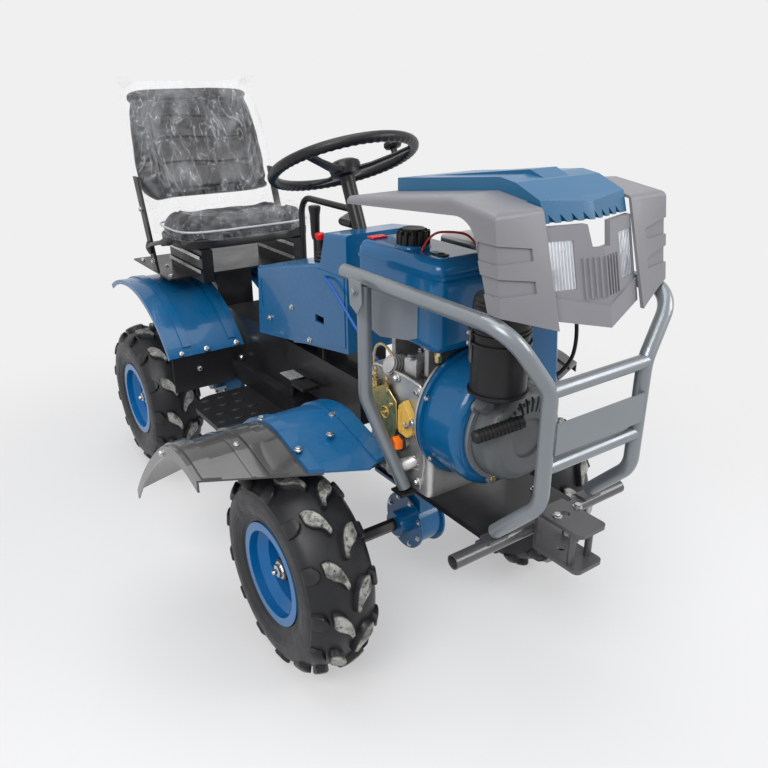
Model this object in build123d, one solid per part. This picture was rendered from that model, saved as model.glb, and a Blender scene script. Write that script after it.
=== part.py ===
from build123d import *
import math
import os

# Small four-wheel-drive mini tractor, bent at its waist to steer.
# Millimetres, +Z up. The vehicle's front is -Y and its right side is -X.
# The origin is on the ground under the middle of the whole vehicle.
# Places are given as (right, ahead, up), measured from the ground point
# under the middle of the front axle.

# Overall layout
WHEELBASE = 1095.0
FRONT_REACH = 520.0
REAR_OVERHANG = 268.0
FRONT_WHEEL_OUT = 326.0
REAR_WHEEL_OUT = 252.0
WAIST_BACK = 350.0
FRONT_AXLE_Y = FRONT_REACH - (FRONT_REACH + WHEELBASE + REAR_OVERHANG) / 2

# Shared small values
OVERRUN = 10.0
SEAT_GAP = 0.3
SHEET = 3.0

# Tyres and rims
TYRE_RADIUS = 240.0
TYRE_WIDTH = 160.0
TREAD_WIDTH = 132.0
LUG_HEIGHT = 18.0
LUG_COUNT = 13
SHOULDER_DROP = 20.0
TYRE_BELLY_RADIUS = 172.0
TYRE_SIDES = 2 * LUG_COUNT
WALL_STATION_SHARES = (0.0, 0.6)
TREAD_STATION_SHARES = (0.08, 0.92)
LUG_EDGE_DROP = 16.0
LUG_FLAT_SHARE = 0.6
LUG_SHARES = [
    # (across, as a share of half the tread; along, as a share of the pitch)
    (1.08, 0.36), (1.08, 0.02), (0.46, -0.06), (0.04, -0.34), (0.26, 0.24),
]
BEAD_RADIUS = 101.6
RIM_WIDTH = 140.0
RIM_FLANGE_RADIUS = 116.5
RIM_WELL_RADIUS = 84.0
RIM_SHEET = 3.5
BEAD_WIDTH = 16.0
WELL_WIDTH = 62.0
DISC_INSET = 62.0
DISC_BORE = 26.0
AXLE_UP = TYRE_RADIUS

# Hubs and the hexagon axle shafts
HUB_RADIUS = 25.7
HUB_FLANGE_RADIUS = 48.0
HUB_FLANGE = 6.0
HUB_LENGTH = 78.0
HUB_NOSE = 20.0
SHAFT_FLATS = 26.0
NUT_FLATS = 24.0
NUT_LENGTH = 14.0

# Drive cases around the axles
CASE_RADIUS = 62.0
CASE_HALF = 30.0
CASE_FLANGE_RADIUS = 70.0
CASE_FLANGE = 5.0
COLLAR_RADIUS = 30.0
COLLAR_LENGTH = 30.0
LEG_LENGTH = 96.0
LEG_FLANGE = 8.0
LEG_FLANGE_HALF = 86.0

# Front chassis
PLATE_UP = 430.0
PLATE_HALF = 118.0
PLATE_SETBACK = 148.0
PLATE_FRONT = FRONT_REACH - PLATE_SETBACK
PLATE_BACK = -60.0
PLATE_THICK = 5.0
RAIL_HIGH = 46.0
RAIL_WIDE = 40.0
RAIL_OUT = 60.0

# Waist pivot
PIN_RADIUS = 16.0
BARREL_RADIUS = 30.0
BARREL_HIGH = 90.0
YOKE_THICK = 12.0
YOKE_RADIUS = 36.0
WAIST_RUN_GAP = 1.0
PIN_CLEARANCE = 0.05
WAIST_UP = 384.0


def at(right, ahead, up):
    """A place on the vehicle as a point of the model's frame."""
    return (-right, FRONT_AXLE_Y - ahead, up)


def side_plane(right):
    """Local x runs ahead, local y up, and it faces the vehicle's right."""
    return Plane(origin=at(right, 0, 0), x_dir=(0, -1, 0), z_dir=(-1, 0, 0))


def cross_plane(ahead):
    """Local x runs to the right, local y up, and it faces rearward."""
    return Plane(origin=at(0, ahead, 0), x_dir=(-1, 0, 0), z_dir=(0, 1, 0))


def block(right, ahead, up):
    """A box from three (low, high) pairs."""
    size = [high - low for low, high in (right, ahead, up)]
    middle = [(low + high) / 2 for low, high in (right, ahead, up)]
    return Pos(*at(*middle)) * Box(*size)


def prism(outline, right_low, right_high):
    """A side outline of (ahead, up) points, drawn out sideways."""
    face = make_face(Polyline(*outline, close=True))
    return extrude(side_plane(right_low) * face, right_high - right_low)


def rod_between(start, end, radius, bore=0):
    """A straight round bar or tube between two model points."""
    line = Vector(*end) - Vector(*start)
    section = Plane(origin=start, z_dir=line)
    body = extrude(section * Circle(radius), line.length)
    if bore:
        body -= extrude(section * Circle(bore), line.length)
    return body


def pipe(points, bends, radius, bore=0):
    """A tube of straight runs with an arc at each corner."""
    path = FilletPolyline(*points, radius=bends)
    section = Plane(origin=path @ 0, z_dir=path % 0)
    body = sweep(section * Circle(radius), path)
    if bore:
        body -= sweep(section * Circle(bore), path)
    return body


def both_sides(piece):
    """The piece and its mirror image across the vehicle's middle."""
    return [piece, mirror(piece, Plane.YZ)]


def turned(points, axis=Axis.X):
    """A solid of revolution from a closed (along, radius) outline."""
    return revolve(make_face(Polyline(*points, close=True)), axis)


# Wheels are drawn about the X axis with their outer side towards -X. The
# left ones are mirror images, so all the treads point the same way.
WHEELS = {
    # name: (right, ahead)
    "front_right": (FRONT_WHEEL_OUT, 0),
    "front_left": (-FRONT_WHEEL_OUT, 0),
    "rear_right": (REAR_WHEEL_OUT, -WHEELBASE),
    "rear_left": (-REAR_WHEEL_OUT, -WHEELBASE),
}


def place_wheel(piece, name):
    right, ahead = WHEELS[name]
    if right < 0:
        piece = mirror(piece, Plane.YZ)
    return Pos(*at(right, ahead, AXLE_UP)) * piece


def ring_through(stations):
    """A many-sided ring body through (across, radius) stations."""
    faces = [Plane.YZ.offset(across) * RegularPolygon(radius, TYRE_SIDES) for across, radius in stations]
    return loft(faces, ruled=True)


def tyre_stations():
    """The carcass from bead to bead: its walls' arcs and the crowned tread."""
    half = TYRE_WIDTH / 2
    tread = TREAD_WIDTH / 2
    bead = RIM_WIDTH / 2 - RIM_SHEET - SEAT_GAP
    lip = (RIM_FLANGE_RADIUS + SEAT_GAP) / math.cos(math.pi / TYRE_SIDES)
    crown = TYRE_RADIUS - LUG_HEIGHT
    shoulder = crown - SHOULDER_DROP
    wall = ThreePointArc((-bead, lip), (-half, TYRE_BELLY_RADIUS), (-tread, shoulder))
    top = ThreePointArc((-tread, shoulder), (0, crown), (tread, shoulder))
    left = [wall @ share for share in WALL_STATION_SHARES]
    middle = [top @ share for share in TREAD_STATION_SHARES]
    points = [(point.X, point.Y) for point in left + middle]
    return points + [(-point.X, point.Y) for point in reversed(left)]


def tyre():
    """A carcass with a row of swept lugs on each side, sloped off at the shoulder."""
    tread = TREAD_WIDTH / 2
    pitch = 2 * math.pi * TYRE_RADIUS / LUG_COUNT
    crown = math.sqrt(TYRE_RADIUS ** 2 - (LUG_SHARES[0][1] * pitch) ** 2)
    root = crown - LUG_HEIGHT - SHOULDER_DROP
    lugs = []
    for side in (-1, 1):
        points = [(side * across * tread, along * pitch) for across, along in LUG_SHARES]
        foot = extrude(Pos(0, 0, root) * make_face(Polyline(*points, close=True)), TYRE_RADIUS)
        slope = Polyline((0, root), (0, crown), (side * LUG_FLAT_SHARE * tread, crown),
                         (side * TYRE_WIDTH / 2, crown - LUG_EDGE_DROP), (side * TYRE_WIDTH / 2, root), close=True)
        one = foot & extrude(Plane.XZ * make_face(slope), pitch, both=True)
        for index in range(LUG_COUNT):
            lugs.append(Rot((index + side / 4) * 360 / LUG_COUNT, 0, 0) * one)
    bore = Rot(0, 90, 0) * Cylinder(BEAD_RADIUS, TYRE_WIDTH)
    return ring_through(tyre_stations()) + lugs - bore


def rim():
    half = RIM_WIDTH / 2
    seat = BEAD_RADIUS - SEAT_GAP
    well = WELL_WIDTH / 2
    shoulder = half - RIM_SHEET - BEAD_WIDTH
    outside = [
        (-half, RIM_FLANGE_RADIUS),
        (-half + RIM_SHEET, RIM_FLANGE_RADIUS),
        (-half + RIM_SHEET, seat),
        (-shoulder, seat),
        (-well, RIM_WELL_RADIUS),
        (well, RIM_WELL_RADIUS),
        (shoulder, seat),
        (half - RIM_SHEET, seat),
        (half - RIM_SHEET, RIM_FLANGE_RADIUS),
        (half, RIM_FLANGE_RADIUS),
    ]
    inside = [
        (half, seat - RIM_SHEET),
        (shoulder, seat - RIM_SHEET),
        (well, RIM_WELL_RADIUS - RIM_SHEET),
        (-well, RIM_WELL_RADIUS - RIM_SHEET),
        (-shoulder, seat - RIM_SHEET),
        (-half, seat - RIM_SHEET),
    ]
    barrel = turned(outside + inside)
    disc_at = -half + DISC_INSET
    disc = turned([
        (disc_at, DISC_BORE),
        (disc_at, RIM_WELL_RADIUS - RIM_SHEET / 2),
        (disc_at + RIM_SHEET, RIM_WELL_RADIUS - RIM_SHEET / 2),
        (disc_at + RIM_SHEET, DISC_BORE),
    ])
    return barrel + disc


def drive_shaft(wheel_out):
    """The hub with its flange and nose nut, and the hexagon shaft inboard."""
    disc_at = -RIM_WIDTH / 2 + DISC_INSET + RIM_SHEET
    flange_at = disc_at + SEAT_GAP
    hub = turned([
        (flange_at - HUB_NOSE, 0),
        (flange_at - HUB_NOSE, HUB_RADIUS),
        (flange_at, HUB_RADIUS),
        (flange_at, HUB_FLANGE_RADIUS),
        (flange_at + HUB_FLANGE, HUB_FLANGE_RADIUS),
        (flange_at + HUB_FLANGE, HUB_RADIUS),
        (flange_at - HUB_NOSE + HUB_LENGTH, HUB_RADIUS),
        (flange_at - HUB_NOSE + HUB_LENGTH, 0),
    ])
    inner_end = wheel_out - CASE_HALF - COLLAR_LENGTH - CASE_FLANGE - SEAT_GAP
    hexagon = Plane.YZ * RegularPolygon(SHAFT_FLATS / 2, 6, major_radius=False)
    shaft = extrude(Pos(flange_at, 0, 0) * hexagon, inner_end - flange_at)
    nut_face = Plane.YZ * RegularPolygon(NUT_FLATS / 2, 6, major_radius=False)
    nut = extrude(Pos(flange_at - HUB_NOSE - NUT_LENGTH, 0, 0) * nut_face, NUT_LENGTH + OVERRUN)
    return hub + shaft + nut


def drive_case(ahead, top_up):
    """The round gear case about an axle, its collars and the leg above it."""
    centre = at(0, ahead, AXLE_UP)
    ends = CASE_HALF + CASE_FLANGE + COLLAR_LENGTH
    drum = turned([
        (-ends, 0),
        (-ends, COLLAR_RADIUS),
        (-CASE_HALF - CASE_FLANGE, COLLAR_RADIUS),
        (-CASE_HALF - CASE_FLANGE, CASE_FLANGE_RADIUS),
        (-CASE_HALF, CASE_FLANGE_RADIUS),
        (-CASE_HALF, CASE_RADIUS),
        (CASE_HALF, CASE_RADIUS),
        (CASE_HALF, CASE_FLANGE_RADIUS),
        (CASE_HALF + CASE_FLANGE, CASE_FLANGE_RADIUS),
        (CASE_HALF + CASE_FLANGE, COLLAR_RADIUS),
        (ends, COLLAR_RADIUS),
        (ends, 0),
    ])
    half = CASE_HALF - OVERRUN / 2
    long = (ahead - LEG_LENGTH / 2, ahead + LEG_LENGTH / 2)
    leg = block((-half, half), long, (AXLE_UP, top_up))
    flange = block((-LEG_FLANGE_HALF, LEG_FLANGE_HALF), long, (top_up - LEG_FLANGE, top_up))
    return Pos(*centre) * drum + leg + flange


# Front chassis: base plate, two rails under it, the waist barrel, the
# tabs under the bumper's struts and the uprights that carry the fenders.
FENDER_SHEET = 4.0
FENDER_PROFILE = [
    # (ahead, up) of the pressed arch over the wheel: front, brow, crest,
    # shoulder, middle of the rear arc, rear
    (120.0, 486.0),
    (-40.0, 532.0),
    (-120.0, 535.0),
    (-190.0, 510.0),
    (-300.0, 424.0),
    (-440.0, 276.0),
]
FENDER_SPLIT = 300.0
FENDER_INNER = 145.0
FENDER_OUTER = 534.0
TAB_OUT = 160.0
TAB_AHEAD = (120.0, 160.0)
UPRIGHT_AHEAD = (-30.0, 20.0)
UPRIGHT_THICK = 8.0


def fender_brow(ahead):
    """Height of the front fender's lower face along its straight brow."""
    (front, front_up), (back, back_up) = FENDER_PROFILE[:2]
    share = (ahead - back) / (front - back)
    return back_up + share * (front_up - back_up) + SEAT_GAP


def fender_upright():
    back, front = UPRIGHT_AHEAD
    low = PLATE_UP - PLATE_THICK
    outline = [(back, low), (back, fender_brow(back) - SEAT_GAP),
               (front, fender_brow(front) - SEAT_GAP), (front, low)]
    arm = block((PLATE_HALF - OVERRUN, FENDER_INNER), UPRIGHT_AHEAD, (low, PLATE_UP))
    return arm + prism(outline, FENDER_INNER, FENDER_INNER + UPRIGHT_THICK)


def front_chassis():
    floor = block((-PLATE_HALF, PLATE_HALF), (PLATE_BACK, PLATE_FRONT), (PLATE_UP - PLATE_THICK, PLATE_UP))
    rail_top = PLATE_UP - PLATE_THICK
    low = rail_top - RAIL_HIGH
    rails = [
        block((s * RAIL_OUT - RAIL_WIDE / 2, s * RAIL_OUT + RAIL_WIDE / 2),
              (-WAIST_BACK + BARREL_RADIUS, PLATE_FRONT - RAIL_WIDE), (low, rail_top))
        for s in (-1, 1)
    ]
    brace = block((-RAIL_OUT, RAIL_OUT), (-WAIST_BACK + BARREL_RADIUS, -WAIST_BACK + YOKE_RADIUS + RAIL_WIDE),
                  (low, rail_top))
    foot = WAIST_UP - BARREL_HIGH / 2
    barrel = rod_between(at(0, -WAIST_BACK, foot), at(0, -WAIST_BACK, foot + BARREL_HIGH), BARREL_RADIUS)
    tongue = block((-BARREL_RADIUS, BARREL_RADIUS), (-WAIST_BACK, -WAIST_BACK + YOKE_RADIUS + OVERRUN),
                   (low, rail_top))
    tab = block((PLATE_HALF - OVERRUN, TAB_OUT), TAB_AHEAD, (rail_top, PLATE_UP))
    body = floor + rails + brace + tongue + barrel + both_sides(tab) + both_sides(fender_upright())
    bore = rod_between(at(0, -WAIST_BACK, foot - OVERRUN), at(0, -WAIST_BACK, foot + BARREL_HIGH + OVERRUN),
                       PIN_RADIUS + PIN_CLEARANCE)
    return body - bore


# Front bumper of bent tube, its two struts and the sheet between them
TUBE_RADIUS = 14.0
TUBE_WALL = 2.0
TUBE_BEND = 60.0
LOOP_OUT_LOW = 118.0
LOOP_OUT_HIGH = 200.0
RAIL_BACK_END = 22.0
RAIL_UP = 882.0
FLARE_DROP = 112.0
FLARE_UP = RAIL_UP - FLARE_DROP
LOOP_SETBACK = 28.0
LOOP_AHEAD = FRONT_REACH - LOOP_SETBACK
LOOP_TOP_LEAN = 18.0
LOOP_TOP_AHEAD = LOOP_AHEAD - LOOP_TOP_LEAN
LOOP_DROP = 210.0
LOOP_LOW_UP = FLARE_UP - LOOP_DROP
FOOT_OUT = 129.0
FOOT_OVERHANG = 28.0
FOOT_AHEAD = PLATE_FRONT + FOOT_OVERHANG
FOOT_UP = 464.0
CROSS_DROP = 138.0
CROSS_UPS = (FLARE_UP - CROSS_DROP, FLARE_UP)
CROSS_RADIUS = 13.0
STRUT_AHEAD = 88.0
STRUT_BEND_UP = 640.0
STRUT_FOOT_OUT = 140.0
STRUT_FOOT_AHEAD = 140.0
STRUT_FOOT_UP = 435.5


def bumper_frame():
    loop = pipe(
        [
            at(LOOP_OUT_HIGH, RAIL_BACK_END, RAIL_UP),
            at(LOOP_OUT_HIGH, LOOP_TOP_AHEAD, RAIL_UP),
            at(LOOP_OUT_LOW, LOOP_AHEAD, FLARE_UP),
            at(LOOP_OUT_LOW, LOOP_AHEAD, LOOP_LOW_UP),
            at(FOOT_OUT, FOOT_AHEAD, FOOT_UP),
        ],
        [TUBE_BEND, TUBE_BEND, TUBE_BEND], TUBE_RADIUS)
    frame = both_sides(loop)
    crosses = [
        rod_between(at(-LOOP_OUT_LOW, LOOP_AHEAD, up), at(LOOP_OUT_LOW, LOOP_AHEAD, up), CROSS_RADIUS)
        for up in CROSS_UPS
    ]
    return frame[0] + frame[1] + crosses


def bumper_struts():
    strut = pipe(
        [
            at(LOOP_OUT_HIGH, STRUT_AHEAD, RAIL_UP - TUBE_RADIUS - SEAT_GAP),
            at(LOOP_OUT_HIGH, STRUT_AHEAD, STRUT_BEND_UP),
            at(STRUT_FOOT_OUT, STRUT_FOOT_AHEAD, STRUT_FOOT_UP),
        ],
        [TUBE_BEND], TUBE_RADIUS)
    return both_sides(strut)


PANEL_HALF = 111.0
PANEL_LOW = 660.0
PANEL_HIGH = 717.0


def bumper_panel():
    """A strip laid on the front of the loops, whose edges rest on the tubes."""
    back = LOOP_AHEAD + math.sqrt(TUBE_RADIUS ** 2 - (LOOP_OUT_LOW - PANEL_HALF) ** 2) + SEAT_GAP
    return block((-PANEL_HALF, PANEL_HALF), (back, back + SHEET), (PANEL_LOW, PANEL_HIGH))


# Front hitch: open cross tube, foot brackets and the pinned clevis
HITCH_TUBE_HALF = 226.0
HITCH_TUBE_OVERHANG = 26.0
HITCH_TUBE_AHEAD = PLATE_FRONT + HITCH_TUBE_OVERHANG
HITCH_TUBE_UP = 436.0
HITCH_TUBE_RADIUS = 14.0
CLEVIS_HALF = 36.0
CLEVIS_BACK = HITCH_TUBE_AHEAD + HITCH_TUBE_RADIUS - TUBE_WALL
CLEVIS_UPS = (476.0, 400.0)
CLEVIS_PLATE = 8.0
CLEVIS_HOLE = 9.0
CLEVIS_HOLE_SETBACK = 70.0
CLEVIS_HOLE_AHEAD = FRONT_REACH - CLEVIS_HOLE_SETBACK
CLEVIS_ROUND = 12.0
SPACER_OUT = 23.0
SPACER_SETBACK = 28.0
SPACER_AHEAD = FRONT_REACH - SPACER_SETBACK
SPACER_RADIUS = 7.0
HITCH_LUG = (105.0, 150.0)
HITCH_LUG_DROP = 10.2
HITCH_LUG_TOP = FOOT_UP - HITCH_LUG_DROP


def front_hitch():
    tube = rod_between(at(-HITCH_TUBE_HALF, HITCH_TUBE_AHEAD, HITCH_TUBE_UP),
                       at(HITCH_TUBE_HALF, HITCH_TUBE_AHEAD, HITCH_TUBE_UP),
                       HITCH_TUBE_RADIUS, HITCH_TUBE_RADIUS - TUBE_WALL)
    web_low = CLEVIS_UPS[1]
    web_high = CLEVIS_UPS[0]
    web = block((-CLEVIS_HALF, CLEVIS_HALF), (CLEVIS_BACK, CLEVIS_BACK + CLEVIS_PLATE), (web_low, web_high))
    clevis = web
    for up in CLEVIS_UPS:
        plate = block((-CLEVIS_HALF, CLEVIS_HALF), (CLEVIS_BACK, FRONT_REACH),
                      (up - CLEVIS_PLATE / 2, up + CLEVIS_PLATE / 2))
        front_edges = plate.edges().filter_by(Axis.Z).sort_by(Axis.Y)[:2]
        clevis += fillet(front_edges, CLEVIS_ROUND)
    clevis += [rod_between(at(s * SPACER_OUT, SPACER_AHEAD, web_low), at(s * SPACER_OUT, SPACER_AHEAD, web_high),
                           SPACER_RADIUS) for s in (-1, 1)]
    hole = rod_between(at(0, CLEVIS_HOLE_AHEAD, web_low - OVERRUN), at(0, CLEVIS_HOLE_AHEAD, web_high + OVERRUN),
                       CLEVIS_HOLE)
    lug = block(HITCH_LUG, (PLATE_FRONT + SEAT_GAP, HITCH_TUBE_AHEAD - HITCH_TUBE_RADIUS + TUBE_WALL),
                (PLATE_UP - PLATE_THICK, HITCH_TUBE_UP))
    foot = block(HITCH_LUG, (HITCH_TUBE_AHEAD - HITCH_TUBE_RADIUS, HITCH_TUBE_AHEAD + HITCH_TUBE_RADIUS),
                 (HITCH_TUBE_UP + HITCH_TUBE_RADIUS - TUBE_WALL, HITCH_LUG_TOP))
    return tube + both_sides(lug) + both_sides(foot) + (clevis - hole)


# Hood shell, its blue top panel, the grille face and the lamps
HOOD_HALF = 200.0
HOOD_SHEET = 5.0
HOOD_TAIL = 36.0
HOOD_RISE = 179.0
HOOD_TAIL_DROP = 37.0
HOOD_BROW_DROP = 15.0
HOOD_PEAK_RISE = 39.0
HOOD_CROWN_SETBACK = 190.0
HOOD_BROW_SETBACK = 83.0
HOOD_CROWN_UP = RAIL_UP + HOOD_RISE
HOOD_TAIL_UP = HOOD_CROWN_UP - HOOD_TAIL_DROP
HOOD_BROW_UP = HOOD_CROWN_UP - HOOD_BROW_DROP
HOOD_PEAK_UP = HOOD_CROWN_UP + HOOD_PEAK_RISE
HOOD_CROWN_AHEAD = FRONT_REACH - HOOD_CROWN_SETBACK
HOOD_BROW_AHEAD = FRONT_REACH - HOOD_BROW_SETBACK
HOOD_SIDE_DEEP = 14.0
HOOD_SIDE_LOW = HOOD_BROW_UP - 2 * HOOD_SIDE_DEEP
HOOD_EDGE_ROUND = 11.0
CHEEK_INNER = 104.0
CHEEK_DROP = 16.0
CHEEK_LOW_UP = RAIL_UP - CHEEK_DROP
CHEEK_LOW_SETBACKS = (61.0, 34.0, 17.0)
CHEEK_HIGH_SETBACKS = (89.0, 87.0, 84.0)
CHEEK_LOW_AHEADS = [FRONT_REACH - setback for setback in CHEEK_LOW_SETBACKS]
CHEEK_HIGH_AHEADS = [FRONT_REACH - setback for setback in CHEEK_HIGH_SETBACKS]
CHEEK_FOOT_UP = RAIL_UP + TUBE_RADIUS + 2 * SEAT_GAP
ARCH_START_SETBACK = 179.0
ARCH_START = FRONT_REACH - ARCH_START_SETBACK
ARCH_FALL = 52.0
ARCH_SAG = 17.0
ARCH_BACK_SETBACK = 124.0
ARCH_BACK = FRONT_REACH - ARCH_BACK_SETBACK
ARCH_FOOT_SETBACK = 94.0
ARCH_LEG_FOOT = FRONT_REACH - ARCH_FOOT_SETBACK
NOTCH_DROPS = (57.0, 105.0)
NOTCH_INNER = 134.0
NOTCH_DEEP = 2.6
NOTCH_HIGH = 30.0
NOTCH_SLANT = 12.0
MOUTH_SETBACK = 125.0
MOUTH_BACK = FRONT_REACH - MOUTH_SETBACK
MOUTH_HALF = 102.5
TOP_PANEL_HALF = 98.0
TOP_PANEL_TAIL = 56.0
TOP_PANEL_STEP = 21.0
TOP_PANEL_TAIL_DROP = 31.0
TOP_PANEL_BREAK_DROP = 5.0
TOP_PANEL_BREAK_SETBACK = 154.0
TOP_PANEL_CROWN_UP = HOOD_CROWN_UP + TOP_PANEL_STEP
TOP_PANEL_TAIL_UP = TOP_PANEL_CROWN_UP - TOP_PANEL_TAIL_DROP
TOP_PANEL_BREAK = FRONT_REACH - TOP_PANEL_BREAK_SETBACK
TOP_PANEL_BREAK_UP = TOP_PANEL_CROWN_UP - TOP_PANEL_BREAK_DROP
LIP_DROPS = (39.0, 5.0)
LIP_LOW_SETBACKS = (89.0, 71.0)
LIP_HIGH_SETBACKS = (100.0, 82.0)
LIP_UPS = [HOOD_CROWN_UP - drop for drop in LIP_DROPS]
LIP_LOW_AHEADS = [FRONT_REACH - setback for setback in LIP_LOW_SETBACKS]
LIP_HIGH_AHEADS = [FRONT_REACH - setback for setback in LIP_HIGH_SETBACKS]
LIP_THICK = 22.0
RIDGE_HALVES = (46.0, 26.0)
RIDGE_HIGH = 7.0
TOOTH_COUNT = 8
TOOTH_DEEP = 7.0
TOOTH_HIGH = 13.0
GRILLE_LOW_DROP = 9.0
GRILLE_LOW_UP = CHEEK_LOW_UP - GRILLE_LOW_DROP
GRILLE_HIGH_DROP = 4.0
GRILLE_HIGH_UP = LIP_UPS[0] - GRILLE_HIGH_DROP
GRILLE_LOW_SETBACKS = (43.0, 16.0)
GRILLE_HIGH_SETBACKS = (81.0, 54.0)
GRILLE_LOW_AHEADS = [FRONT_REACH - setback for setback in GRILLE_LOW_SETBACKS]
GRILLE_HIGH_AHEADS = [FRONT_REACH - setback for setback in GRILLE_HIGH_SETBACKS]
GRILLE_THICK = 14.0
GRILLE_APRON_DROP = 24.0
GRILLE_STEP_LOW_RISE = 34.0
GRILLE_STEP_HIGH_RISE = 58.0
GRILLE_STEP_UPS = (GRILLE_LOW_UP + GRILLE_STEP_LOW_RISE, GRILLE_LOW_UP + GRILLE_STEP_HIGH_RISE)
GRILLE_STEP = 3.0
MOUTH_HALVES = (20.0, 28.0)
MOUTH_DEPTH = 37.0
MOUTH_LOW_UP = GRILLE_HIGH_UP - MOUTH_DEPTH
SLAT_COUNT = 9
SLAT_HALF_SPAN = 40.0
SLAT_HIGH = 62.0
SLAT_RISE = 49.0
SLAT_LOW_UP = GRILLE_LOW_UP + SLAT_RISE
SLAT_THICK = 3.0
LAMP_OUT = (54.0, 99.0)
LAMP_LOW_RISE = 65.0
LAMP_HIGH_DROP = 22.0
LAMP_UPS = (GRILLE_LOW_UP + LAMP_LOW_RISE, GRILLE_HIGH_UP - LAMP_HIGH_DROP)
LAMP_INSET = 2.0
LAMP_DEPTH = 9.0


def plan_outline(half, back, aheads, up):
    """A nose seen from above: its corners, inner corners and middle."""
    if len(aheads) == 3:
        corner, inner, middle = aheads
        right = [(half, back), (half, corner), (CHEEK_INNER * half / HOOD_HALF, inner)]
    else:
        corner, middle = aheads
        right = [(half, back), (half, corner)]
    left = [(-out, ahead) for out, ahead in reversed(right)]
    points = [at(out, ahead, up) for out, ahead in right + [(0, middle)] + left]
    return make_face(Polyline(*points, close=True))


def nose(half, back, low, high, inset=0):
    """A body between two such outlines, each a pair of (up, aheads)."""
    faces = []
    for up, aheads in (low, high):
        faces.append(plan_outline(half - inset, back, [ahead - inset for ahead in aheads], up))
    return loft(faces, ruled=True)


def hood_body(inset):
    """The hood as a solid, with its roof and walls set in by the inset."""
    slope = (HOOD_PEAK_UP - CHEEK_LOW_UP) / (HOOD_BROW_UP - CHEEK_LOW_UP)
    high = [low + (top - low) * slope for low, top in zip(CHEEK_LOW_AHEADS, CHEEK_HIGH_AHEADS)]
    block_out = nose(HOOD_HALF, HOOD_TAIL - inset * 2, (CHEEK_LOW_UP - inset, CHEEK_LOW_AHEADS),
                     (HOOD_PEAK_UP, high), inset)
    back = HOOD_TAIL - OVERRUN - inset
    roof = prism([
        (back, CHEEK_LOW_UP - OVERRUN),
        (back, HOOD_TAIL_UP - inset),
        (HOOD_CROWN_AHEAD, HOOD_CROWN_UP - inset),
        (HOOD_BROW_AHEAD, HOOD_BROW_UP - inset),
        (FRONT_REACH, HOOD_SIDE_LOW),
        (FRONT_REACH, CHEEK_LOW_UP - OVERRUN),
    ], -HOOD_HALF, HOOD_HALF)
    return block_out & roof



def hood_shell():
    outer = hood_body(0)
    long_edges = outer.edges().filter_by(lambda e: e.center().Z > HOOD_TAIL_UP - OVERRUN
                                         and abs(e.center().X) > HOOD_HALF - OVERRUN)
    front_edges = outer.edges().filter_by(lambda e: e.center().Z > HOOD_BROW_UP - 2 * OVERRUN
                                          and e.center().Y < FRONT_AXLE_Y - ARCH_BACK)
    outer = fillet(long_edges + front_edges, HOOD_EDGE_ROUND)
    shell = outer - hood_body(HOOD_SHEET)
    under = HOOD_CROWN_UP - 2 * HOOD_SIDE_DEEP
    tail = HOOD_TAIL - 2 * OVERRUN
    low = CHEEK_LOW_UP - OVERRUN
    arc_end = (ARCH_BACK, under - ARCH_FALL)
    arch = Polyline((tail, low), (tail, HOOD_TAIL_UP - HOOD_SIDE_DEEP), (ARCH_START, under))
    bend = SagittaArc((ARCH_START, under), arc_end, ARCH_SAG)
    leg = Polyline(arc_end, (ARCH_LEG_FOOT, CHEEK_FOOT_UP), (ARCH_LEG_FOOT, low), (tail, low))
    span = HOOD_HALF + OVERRUN
    shell -= extrude(side_plane(-span) * make_face(arch + bend + leg), 2 * span)
    mouth = block((-MOUTH_HALF, MOUTH_HALF), (MOUTH_BACK, FRONT_REACH), (CHEEK_LOW_UP - OVERRUN, HOOD_PEAK_UP))
    foot = Polyline((MOUTH_HALF, CHEEK_LOW_UP), (HOOD_HALF, CHEEK_FOOT_UP), (HOOD_HALF + OVERRUN, CHEEK_FOOT_UP),
                    (HOOD_HALF + OVERRUN, CHEEK_LOW_UP - OVERRUN), (MOUTH_HALF, CHEEK_LOW_UP - OVERRUN), close=True)
    shell = shell - mouth - both_sides(extrude(cross_plane(0) * make_face(foot), -FRONT_REACH))
    skin = hood_body(0) - hood_body(NOTCH_DEEP)
    for drop in NOTCH_DROPS:
        top = HOOD_CROWN_UP - drop
        band = Polyline((HOOD_HALF + OVERRUN, top), (NOTCH_INNER, top - NOTCH_SLANT),
                        (NOTCH_INNER, top - NOTCH_HIGH), (HOOD_HALF + OVERRUN, top - NOTCH_HIGH), close=True)
        front = extrude(cross_plane(ARCH_BACK) * make_face(band), ARCH_BACK - FRONT_REACH)
        shell -= both_sides(skin & front)
    return shell


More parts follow.
